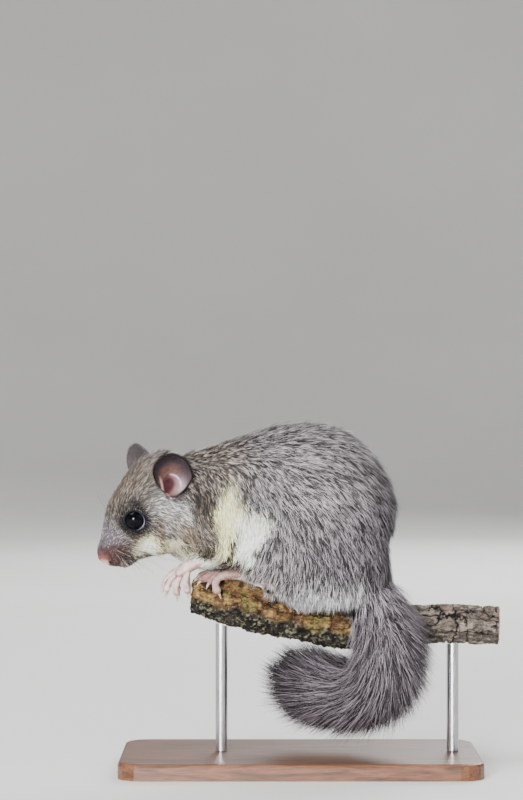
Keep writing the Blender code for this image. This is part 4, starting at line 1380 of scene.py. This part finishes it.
def make_tufts(name, roots, normals, middles, tips, width, root_colours, tip_colours, flat):
    """A coat piece of thin closed tufts: narrow root, wider bend, and pointed tip."""
    count = len(roots)
    side = unit(np.cross(normals, tips - roots))
    half = (width / 2)[:, None]
    points = np.stack([
        roots - normals * ROOT_SINK,
        middles - side * half,
        middles + side * half,
        middles + normals * half * 0.7,
        tips,
    ], axis=1)
    corners = np.array([(0, 1, 3), (0, 3, 2), (0, 2, 1), (4, 3, 1), (4, 2, 3), (4, 1, 2)])
    triangles = (np.arange(count)[:, None, None] * 5 + corners).reshape(-1, 3)
    made = new_object(name, points.reshape(-1, 3), triangles)
    shade = np.stack([
        normals,
        unit(normals - side * 0.6),
        unit(normals + side * 0.6),
        normals,
        unit(normals + unit(tips - roots) * 0.3),
    ], axis=1)
    made.data.normals_split_custom_set_from_vertices(shade.reshape(-1, 3))
    bend = root_colours * 0.5 + tip_colours * 0.5
    colours = np.stack([root_colours, bend, bend, bend, tip_colours], axis=1)
    set_colours(made.data, colours.reshape(-1, 3))
    spots = (flat[:, None] + TUFT_PATCH).reshape(-1, 2)
    layer = made.data.uv_layers.new(name="OFBake")
    layer.data.foreach_set("uv", spots[triangles.ravel()].astype(np.float32).ravel())
    return made


def coat_regions(points):
    """The number of the coat piece that each place belongs to."""
    local = to_head(points)
    tail = tail_share(points) >= 0.1
    head = (local[:, 0] < HEAD_BEFORE) & (local[:, 2] > HEAD_ABOVE)
    x, y, _ = points.T
    tests = [tail & (x <= TAIL_TIP_BEFORE), tail, head & (local[:, 0] < FACE_BEFORE), head,
             x < FRONT_BEFORE, (x < RUMP_FROM) & (y < 0), x < RUMP_FROM, y < 0]
    return np.select(tests, range(len(tests)), len(tests))


def vertex_normals(points, triangles):
    """Normals at the points, each triangle counted by its area."""
    a, b, c = (points[triangles[:, k]] for k in range(3))
    cross = np.cross(b - a, c - a)
    normals = np.zeros_like(points)
    for k in range(3):
        for axis in range(3):
            normals[:, axis] += np.bincount(triangles[:, k], cross[:, axis], len(points))
    return unit(normals)


def in_ear(points, way):
    """True for places inside the cup of the ear or in front of it."""
    tip, rear, opening = ear_axes(way)
    out = to_head(points) - ear_centre(way)
    pit = ear_pit(out @ rear, out @ tip)
    wide, tall = out @ rear / EAR_HALF_WIDTH, out @ tip / EAR_HALF_HEIGHT
    depth = out @ opening
    low = np.clip(-tall / np.maximum(np.hypot(wide, tall), 1e-6), 0, 1)
    reach = np.hypot(wide / (1 - EAR_NARROWING * low**EAR_SHOULDER), tall)
    floor = EAR_DEPTH * (1 - np.clip(reach, 0, 1) ** 2.2) + EAR_PIT_DEPTH * pit
    return (reach < 1.02) & (depth > -floor - EAR_WALL - 0.6) & (depth < 9)


def outside_ears(points):
    return ~in_ear(points, -1) & ~in_ear(points, 1)


def bald(roots):
    """How likely a root is left out: on the nose, in the eye's opening, and on the paws."""
    local = to_head(roots)
    bare = inside(local, (-33.4, 0, -1.4), (2.4, 3.2, 2.6), 0.2)
    bare = np.maximum(bare, inside(on_one_side(local), NOSTRIL, (1.1, 1.6, 1.6), 0.3))
    for gap in eye_gaps(local):
        bare = np.maximum(bare, fade(4.5, 5.0, gap))
    return np.maximum(bare, (0.8 - 0.5 * foot_shaft(roots)) * bare_paw(roots))


def short_of_ears(roots, lie, length):
    """The hair's length, cut down where the hair would reach into an ear."""
    for way in WAYS:
        for factor in (0.7, 0.6, 0.0):
            blocked = in_ear(roots + lie * length[:, None] * 0.95, way)
            length = np.where(blocked, length * factor, length)
    return length


def grow_tufts(name, roots, normals, lock_count, rng):
    """The tufts of a coat piece in the order of make_tufts, gathered into this many locks."""
    count = len(roots)
    seeds = rng.permutation(count)[:lock_count]
    lock, _ = nearest(roots, roots[seeds])
    gather = roots[seeds][lock] - roots
    local, share = to_head(roots), tail_share(roots)

    stray = 0.08 * rng.standard_normal(count) + 0.17 * rng.standard_normal(lock_count)[lock]
    stray += 0.2 * lattice_noise(roots, 2.6, 9) + 0.12 * share * rng.standard_normal(count)
    lie = lie_of(roots, normals)
    lie = unit(lie + np.cross(normals, lie) * stray[:, None])
    length = hair_length(roots, local, share)
    length *= rng.uniform(0.72, 1.15, count) * rng.uniform(0.85, 1.15, lock_count)[lock]
    length = short_of_ears(roots, lie, length)

    tone = rng.random(lock_count)[lock]
    alone = rng.random(count) < LONE_TUFTS + (LONE_TAIL_TUFTS - LONE_TUFTS) * share
    tone = np.where(alone, rng.random(count), tone)
    lift = np.where(tone > SILVER_FROM, 1, np.where(tone < DARK_BELOW, -1, 0))
    length *= 1 + 0.06 * lift
    fluff = tail_fluff(roots, share)
    rise = BODY_RISE + TAIL_RISE * fluff + 6 * rng.standard_normal(lock_count)[lock] + 3 * lift
    rise = np.radians(np.clip(rise + rng.normal(0, 5, count), 5, 80))[:, None]
    fall = rise * (0.3 + 0.28 * fluff)[:, None] - 0.03
    half = (length / 2)[:, None]
    middles = roots + lie * half * np.cos(rise) + normals * half * np.sin(rise)
    tips = middles + lie * half * np.cos(fall) + normals * half * np.sin(fall)
    tips = tips + gather * TIP_GATHER
    middles = middles + gather * BEND_GATHER
    width = np.minimum(0.12 + 0.016 * length, TUFT_WIDEST) * rng.uniform(0.7, 1.3, count)
    tip_colours, root_colours = tuft_colours(roots, tone, rng)
    clear = (length > 0.2) & outside_perch(tips) & outside_perch(middles)
    clear &= outside_ears(tips) & outside_ears(middles)
    flat = unwrap(name, roots, local)
    rows = (roots, normals, middles, tips, width, root_colours, tip_colours, flat)
    return [row[clear] for row in rows]


def grow_coat(points, triangles, material):
    """All the coat pieces, rooted evenly on the skin and gathered into small locks."""
    normals = vertex_normals(points, triangles)
    regions = coat_regions(points[triangles].mean(axis=1))
    for number, (name, slot, density, lock_area) in enumerate(COAT_PIECES):
        rng = np.random.default_rng(COAT_SEED + number)
        roots, out = scatter(points, normals, triangles[regions == number], density, rng)
        keep = rng.random(len(roots)) > bald(roots)
        keep &= outside_ears(roots) & outside_perch(roots)
        lock_count = int(keep.sum() / density / lock_area)
        tufts = grow_tufts(name, roots[keep], out[keep], lock_count, rng)
        add_piece(make_tufts(name, *tufts), material, slot)


def paleness(tips):
    """1 for white and cream fur, 0 for grey and brown."""
    return np.clip((tips.mean(axis=1) - 0.42) / 0.3, 0, 1)


def tuft_colours(roots, tone, rng):
    """Tip and root colours: each lock dark, middling or silver, and pale fur more even."""
    tips = markings(roots + rng.normal(0, 0.9, roots.shape))
    # painted shadow along the fold between the arm and the thigh
    tips = blend(tips, CREASE_SHADOW, 0.95 * crease_share(roots))
    shade = np.where(tone < SILVER_FROM, MIDDLE_SHADE, SILVER_SHADE)
    shade = np.where(tone < DARK_BELOW, DARK_SHADE, shade)
    shade = shade * rng.uniform(0.85, 1.15, len(roots))
    shade = 1 + (shade - 1) * (1 - 0.3 * head_share(to_head(roots)))
    pale = paleness(tips)
    shade = shade * (1 - pale) + (0.98 + 0.22 * tone) * pale
    tips = np.clip(tips * shade[:, None], 0, 0.93)
    # dark roots: the hair's own dark base, deepened as painted shade between tufts
    bases = tips * 0.14 + UNDER * 0.14
    bases = bases * (1 - pale[:, None]) + tips * 0.82 * pale[:, None]
    return tips, bases


def grow_ear_coat(ears, material):
    """Short hair on the ears' backs and a fringe on their rims."""
    rows = []
    rng = np.random.default_rng(EAR_COAT_SEED)
    for way, (points, triangles) in zip(WAYS, ears):
        normals = vertex_normals(points, triangles)
        on_back = (triangles >= EAR_WALL_POINTS) & (triangles < 2 * EAR_WALL_POINTS)
        back = triangles[on_back.all(axis=1)]
        roots, out = scatter(points, normals, back, EAR_COAT_DENSITY, rng)
        tip, rear, _ = (HEAD_TURN @ axis for axis in ear_axes(way))
        centre = from_head(ear_centre(way))
        lie = unit(unit(roots - centre) + 0.8 * tip + 0.15 * rng.standard_normal(roots.shape))
        lie = unit(lie - out * np.sum(lie * out, axis=1)[:, None])
        length = rng.uniform(0.9, 1.5, len(roots))[:, None]
        middles = roots + lie * length * 0.5 + out * 0.14
        tips = roots + lie * length + out * 0.2
        width = rng.uniform(0.10, 0.18, len(roots))
        colours = EAR_BACK * rng.uniform(0.5, 1.5, (len(roots), 1))
        flat = np.stack([(roots - centre) @ tip, (roots - centre) @ rear], axis=1)
        flat = 0.02 + 0.45 * (way > 0) + 0.4 * (flat - flat.min(axis=0)) / np.ptp(flat, axis=0)
        rows.append((roots, out, middles, tips, width, colours * 0.6, colours, flat))
    tufts = (np.concatenate(columns) for columns in zip(*rows))
    add_piece(make_tufts("coat_ears", *tufts), material, "fur_head")


# The perch's solid: its points, normals and triangles, and what finds the nearest place on it
PERCH_MESH = mesh_arrays(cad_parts["perch_branch"].data)
PERCH_TREE = BVHTree.FromPolygons([Vector(p) for p in PERCH_MESH[0]], PERCH_MESH[2].tolist())


def perch_line():
    """The perch's middle height at even steps along it."""
    points = PERCH_MESH[0]
    stations = np.arange(points[:, 0].min() + 3, points[:, 0].max(), 4)
    middles = []
    for x in stations:
        near = points[np.abs(points[:, 0] - x) < 3.5]
        middles.append((near[:, 2].min() + near[:, 2].max()) / 2)
    return stations, middles


PERCH_LINE = perch_line()


def outside_perch(points):
    """True for points that lie outside the perch."""
    low = points[:, 2] < PERCH_TOP
    free = np.ones(len(points), bool)
    for i in np.nonzero(low)[0]:
        place, normal, _, _ = PERCH_TREE.find_nearest(Vector(points[i]))
        free[i] = (Vector(points[i]) - place).dot(normal) > 0
    return free


def eye_material():
    """Wet black with a faint cloudy iris."""
    made, tree, shader = new_material("eye", 0.04, Specular_IOR_Level=0.12)
    cloud = map_range(tree, noise_socket(tree, 260, 2), 0.3, 0.8, 0.0, 1.0)
    feed(tree, shader, Base_Color=mix_socket(tree, cloud, IRIS_DARK, IRIS_PALE))
    return made


def make_eyes():
    """The eyeballs in their sockets."""
    material = eye_material()
    for side, way in zip(("left", "right"), WAYS):
        body = head_ball(eye_centre(way), (EYE_RADIUS,) * 3, 5)
        add_piece(new_object(f"eyeball_{side}", *body), material, "eye_black", f"eye_{side}")


def claw_material():
    made, tree, shader = new_material("claw", 0.28, Subsurface_Weight=0.2, Subsurface_Scale=0.0008)
    stops = ((0.3, CLAW_DARK), (0.7, CLAW_PALE))
    feed(tree, shader, Base_Color=ramp_socket(tree, noise_socket(tree, 1500, 2), stops))
    return made


def make_claws():
    """Hooked, half clear claws on all the toes."""
    parts = []
    for way in WAYS:
        parts += claw_parts(FORETOES, way) + claw_parts(HINDTOES, way)
    add_piece(new_object("claws", *joined(parts)), claw_material(), "paw_skin")


def whisker(start, ahead, length, droop, radius):
    """One tapered whisker from a place in the head's frame, and how it bends on the way."""
    share = np.linspace(0, 1, 6)[:, None]
    line = start + ahead * length * share + droop * length * share**2
    return tube(from_head(line), radius * (1 - 0.82 * share[:, 0]), *WHISKER_GRID)


def pad_whisker(surface, way, row, k, rng):
    """The whisker at this row and place of the muzzle's pad, rooted on the skin's surface."""
    x = FIRST_WHISKER[0] + WHISKER_STEP[0] * k + 0.5 * (row % 2)
    z = FIRST_WHISKER[1] - WHISKER_STEP[1] * row - 0.35 * k
    found = surface.ray_cast(Vector((x, way * 20, z)), Vector((0, -way, 0)))[0]
    below = math.radians(13 + 13 * row - 4 * k + rng.uniform(-5, 5))
    world_way = np.array((math.cos(below), -0.5 - 0.1 * rng.random(), -math.sin(below)))
    ahead = unit(world_way @ HEAD_TURN) * (1, -way, 1)
    if k < 2:
        ahead = unit(ahead + np.array((-0.5, way * 0.9, 0.25)))
    length = 7 + 4.4 * k + rng.uniform(-2, 3)
    droop = np.array((0.10, -way * 0.06, -0.2)) + rng.normal(0, 0.04, 3)
    return whisker(np.array(found), ahead, length, droop, WHISKER_RADIUS)


def brow_hair(way, k):
    start = np.array((BROW_ROOT[0] - k, way * BROW_ROOT[1], BROW_ROOT[2]))
    ahead = unit(np.array((-0.05, way * 0.45, 1.0)))
    return whisker(start, ahead, 5 + 1.5 * k, np.array((0.3, 0, 0)), BROW_RADIUS)


def whisker_material():
    made, tree, shader = new_material("whisker", 0.4)
    stops = ((0.3, (0.7,) * 3), (0.7, (1.0,) * 3))
    tone = ramp_socket(tree, noise_socket(tree, 400, 2), stops)
    feed(tree, shader, Base_Color=mix_socket(tree, 1.0, marks(tree)["Color"], tone, "MULTIPLY"))
    return made


def make_whiskers(points, triangles):
    """Long fine whiskers, dark or with pale ends, and a few hairs over the eyes."""
    rng = np.random.default_rng(WHISKER_SEED)
    surface = BVHTree.FromPolygons([Vector(p) for p in to_head(points)], triangles.tolist())
    parts, tones = [], []
    for way in WAYS:
        for row, k in itertools.product(range(WHISKER_ROWS), range(WHISKERS_IN_ROW)):
            parts.append(pad_whisker(surface, way, row, k, rng))
            tones.append((row + k) % 2 if row < 3 else 1)
        for k in range(BROW_HAIRS):
            parts.append(brow_hair(way, k))
            tones.append(0)
    whiskers = new_object("whiskers", *joined(parts))
    along = np.linspace(0, 1, len(parts[0][0]))
    pale = (np.array(tones)[:, None] * smooth_step(0.1, 0.4, along)).ravel()
    set_colours(whiskers.data, blend(WHISKER_DARK, WHISKER_PALE, pale))
    add_piece(whiskers, whisker_material(), "fur_pale")


def old_share(points):
    """1 on the old grey bark towards the branch's right end, 0 on the left."""
    return smooth_step(22, 42, points[:, 0])


def bark_height(points):
    """How far the bark stands out: long cracked plates, and crust on the left and underneath."""
    stretched = points * (0.4, 1, 1)
    wide = lattice_noise(stretched, 4.2, 31)
    crack = np.abs(lattice_noise(stretched, 2.4, 32) + 0.25 * lattice_noise(points, 0.9, 36))
    cross = np.abs(lattice_noise(points * (1.6, 0.5, 0.5), 3.4, 33))
    lumps = lattice_noise(points, 1.4, 34) + 0.7 * lattice_noise(points, 0.75, 35)
    plates = smooth_step(0.0, 0.22, crack) * (0.45 + 0.55 * smooth_step(0.03, 0.16, cross))
    ridge = np.exp(-(((points[:, 0] + 24) / 12) ** 2) - (points[:, 1] / 4.5) ** 2)
    ridge = ridge * (points[:, 2] > perch_middle(points[:, 0]))
    rough, old = crust_share(points), old_share(points)
    height = 0.4 * wide + 0.75 * (plates - 1) * (1 - 0.6 * old) + (0.16 + 0.4 * rough) * lumps
    return height - 0.9 * old * fissures(points) + PERCH_RIDGE * ridge


def fissures(points):
    """1 in the long dark splits of the old bark and the few cracks across it, 0 between."""
    split = lattice_noise(points * (0.22, 1, 1), 3.2, 49) + 0.12 * lattice_noise(points, 0.9, 50)
    across = lattice_noise(points * (1, 0.3, 0.3), 5.0, 51)
    across = np.abs(across + 0.08 * lattice_noise(points, 0.9, 53))
    long_splits = fade(0.015, 0.08, np.abs(split))
    return np.maximum(long_splits, 0.9 - 0.9 * smooth_step(0.01, 0.045, across))


def crust_share(points):
    """1 where lichen and crust cover the bark."""
    height = points[:, 2] - perch_middle(points[:, 0]) + 1.5 * lattice_noise(points, 3.0, 37)
    left = fade(20, 48, points[:, 0])
    return fade(-2.5, 1.5, height) * (0.35 + 0.65 * left)


def perch_middle(x):
    """The height of the perch's middle at x."""
    return np.interp(x, *PERCH_LINE)


def bark_colours(points, height, sawn):
    """Young, old and crusted bark with painted shade in its hollows, cracks and underneath, and the
    sawn wood with its rings.
    """
    tone, fine = lattice_noise(points, 2.4, 41), lattice_noise(points, 0.8, 42)
    over_middle = points[:, 2] - perch_middle(points[:, 0])
    young = painted(OCHRE, [
        (BARK_BROWN, smooth_step(-0.15, 0.35, tone + 0.5 * fine)),
        (GOLD, 0.8 * smooth_step(0.15, 0.5, lattice_noise(points, 1.7, 43) + 0.3 * fine)),
        (OLIVE, 0.75 * smooth_step(0.2, 0.5, lattice_noise(points, 3.4, 44) + 0.3 * fine)),
    ])
    grain = lattice_noise(points * (0.3, 1, 1), 0.9, 52)
    old = painted(BARK_GREY, [
        (BARK_PINK, smooth_step(-0.3, 0.6, tone) * smooth_step(-1, 5, over_middle)),
        (BARK_PALE, 0.8 * smooth_step(0.0, 0.5, grain + 0.5 * tone)),
        # painted shade in the deep fissures, over the bark's own dark
        (BARK_SHADE, 0.95 * fissures(points)),
    ])
    lichen = lattice_noise(points, 0.8, 46) + 0.5 * lattice_noise(points, 0.45, 47)
    lichen = smooth_step(0.25, 0.6, lichen + 0.5 * lattice_noise(points, 5.0, 45))
    # The crust underneath the branch, its colours darkened as painted shade
    crust = painted(BARK_SHADE, [
        (BARK_HALF_SHADE, smooth_step(-0.3, 0.4, tone + 0.4 * fine)),
        (LICHEN, 0.55 * lichen),
    ])
    bark = painted(young, [(old, old_share(points)), (crust, crust_share(points))])
    # Painted shade in the bark's hollows: darker where the relief is low
    bark = bark * (0.16 + 0.84 * smooth_step(-0.8, -0.05, height))[:, None]
    from_pith = np.hypot(points[:, 1] - 0.8, over_middle - 0.6)
    rings = 0.5 + 0.5 * np.sin(4.4 * (from_pith + 0.35 * lattice_noise(points, 3.0, 48)))
    colour = blend(bark, blend(SAWN_WOOD, SAWN_RING, rings), sawn)
    return np.clip(colour * (1 + 0.10 * fine)[:, None], 0, 1)


def bark_material():
    """Fine cracks and grain over the vertex colours; their alpha is 0 on the sawn wood."""
    made, tree, shader = new_material("bark", 0.85, Specular_IOR_Level=0.25)
    colours = marks(tree)
    lines = noise_socket(tree, 760, 6, object_place(tree, (0.3, 1.0, 1.0)), 0.62)
    off_middle = maths(tree, "ABSOLUTE", maths(tree, "SUBTRACT", lines, 0.5))
    cracks = map_range(tree, off_middle, 0.0, 0.04, 0.22, 1.0)
    grain = map_range(tree, noise_socket(tree, 1900, 7, None, 0.75), 0.3, 0.7, 0.45, 1.5)
    relief = maths(tree, "MULTIPLY", cracks, grain)
    relief = map_range(tree, colours["Alpha"], 0.0, 1.0, 1.0, relief)
    rough = map_range(tree, noise_socket(tree, 600, 4), 0.3, 0.7, 0.72, 0.95)
    feed(tree, shader, Base_Color=shaded(tree, colours["Color"], relief), Roughness=rough)
    bump(tree, shader, relief, 0.8, 0.0006)
    return made


def make_perch():
    """The branch with its bark as real relief, broken at one end and sawn at the other."""
    perch = remeshed(new_object("perch_bark", PERCH_MESH[0], PERCH_MESH[2]), BARK_VOXEL)
    points, _, _ = mesh_arrays(perch.data)
    set_points(perch.data, spread(points, edges_of(perch.data), 10))
    points, normals, _ = mesh_arrays(perch.data)
    sawn = smooth_step(0.55, 0.9, normals[:, 0]) * (points[:, 0] > SAWN_FROM)
    height = bark_height(points) * (1 - 0.85 * sawn)
    set_points(perch.data, points + normals * (height - 0.25)[:, None])
    set_colours(perch.data, bark_colours(points, height, sawn), 1 - sawn)
    perch.data.shade_smooth()
    add_piece(perch, bark_material(), "bark", "perch_branch")


def base_material():
    """Satin dark wood with its grain along the base."""
    made, tree, shader = new_material("base_wood", 0.4, Specular_IOR_Level=0.45, Coat_Weight=0.15,
                                      Coat_Roughness=0.25)
    along = object_place(tree, (0.09, 1.0, 1.0))
    rings = noise_socket(tree, 260, 6, along, 0.62, 0.6)
    pores = noise_socket(tree, 1900, 2, along, 0.5)
    colour = shaded(tree, ramp_socket(tree, rings, BASE_TONES),
                    map_range(tree, pores, 0.35, 0.5, 0.6, 1.0))
    feed(tree, shader, Base_Color=colour, Roughness=map_range(tree, rings, 0.3, 0.7, 0.34, 0.5))
    bump(tree, shader, pores, 0.15, 0.0002)
    return made


def steel_material():
    """Steel brushed along the rods."""
    made, tree, shader = new_material("rod_steel", 0.3, Metallic=1.0)
    brush = noise_socket(tree, 4200, 3, object_place(tree, (1.0, 1.0, 0.03)), 0.5)
    colour = ramp_socket(tree, brush, ((0.3, STEEL_DARK), (0.7, STEEL_PALE)))
    feed(tree, shader, Base_Color=colour, Roughness=map_range(tree, brush, 0.3, 0.7, 0.22, 0.42))
    bump(tree, shader, brush, 0.08, 0.0001)
    return made


def finish_stand():
    """Wood on the base and steel on the rods, which keep the solids' own meshes."""
    steel = steel_material()
    looks = {"stand_base": base_material(), "stand_rod_front": steel, "stand_rod_rear": steel}
    for name, material in looks.items():
        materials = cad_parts[name].data.materials
        materials.clear()
        materials.append(material)


def make_floor():
    """A pale round floor that curves up into a wall all round, well away from the camera."""
    profile = [(FLOOR_FLAT, 0.0)]
    for turn in np.radians(np.linspace(0, 90, 13)[1:]):
        reach = FLOOR_FLAT + FLOOR_CURVE * math.sin(turn)
        profile.append((reach, FLOOR_CURVE * (1 - math.cos(turn))))
    profile.append((FLOOR_FLAT + FLOOR_CURVE, FLOOR_WALL))
    turn = np.linspace(0, 2 * math.pi, FLOOR_SIDES, endpoint=False)
    rings = [np.stack([r * np.cos(turn), r * np.sin(turn), np.full(FLOOR_SIDES, z)], axis=1)
             for r, z in profile]
    points = np.vstack([*rings, [[0.0, 0.0, 0.0]]])
    faces = np.vstack([
        ring_faces(0, len(rings), FLOOR_SIDES), fan_faces(len(points) - 1, 0, FLOOR_SIDES)
    ])
    floor = new_object("floor", points / MM - (0, 0, 0.02), faces[:, ::-1])
    material, tree, shader = new_material("floor", 0.8)
    stops = ((0.3, FLOOR_DARK), (0.7, FLOOR_PALE))
    feed(tree, shader, Base_Color=ramp_socket(tree, noise_socket(tree, 3, 3), stops))
    floor.data.materials.append(material)


def make_camera():
    """The camera on the animal's left, as in the photo."""
    data = bpy.data.cameras.new("camera")
    data.lens = CAMERA_LENS
    data.sensor_width = CAMERA_SENSOR
    camera = add_object("camera", data)
    camera.location = CAMERA_PLACE
    camera.rotation_euler = (math.radians(90), 0, 0)
    bpy.context.scene.camera = camera


def make_lights():
    """Square lights that face the model, and a pale sky."""
    for name, place, size, power in LIGHTS:
        data = bpy.data.lights.new(name, "AREA")
        data.size = size
        data.energy = power
        light = add_object(name, data)
        light.location = place
        way = Vector(LIGHTS_AIM) - Vector(place)
        light.rotation_euler = way.to_track_quat("-Z", "Y").to_euler()
    world = bpy.data.worlds.new("world")
    world.use_nodes = True
    sky = world.node_tree.nodes["Background"].inputs
    sky["Color"].default_value = (*SKY, 1)
    sky["Strength"].default_value = SKY_STRENGTH
    bpy.context.scene.world = world


def make_animal():
    """The skin with its ears, its coat, and the eyes, claws and whiskers."""
    skin = make_skin()
    points, normals, triangles = mesh_arrays(skin.data)
    hollow = hollows(points, normals, edges_of(skin.data))
    bpy.data.objects.remove(skin)
    ears = [ear_surface(way) for way in WAYS]
    walls = [ear[:2] for ear in ears]
    skin = new_object("dormouse_skin", *joined([(points, triangles), *walls]))
    colours = [skin_colours(points, normals, hollow), *(ear[2] for ear in ears)]
    set_colours(skin.data, np.vstack(colours))
    dressed = [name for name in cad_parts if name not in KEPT_NODES]
    add_piece(skin, skin_material(), "fur_back", *dressed)
    fur = coat_material()
    grow_coat(points, triangles, fur)
    grow_ear_coat(walls, fur)
    make_eyes()
    make_claws()
    make_whiskers(points, triangles)


make_animal()
make_perch()
finish_stand()
make_floor()
make_camera()
make_lights()
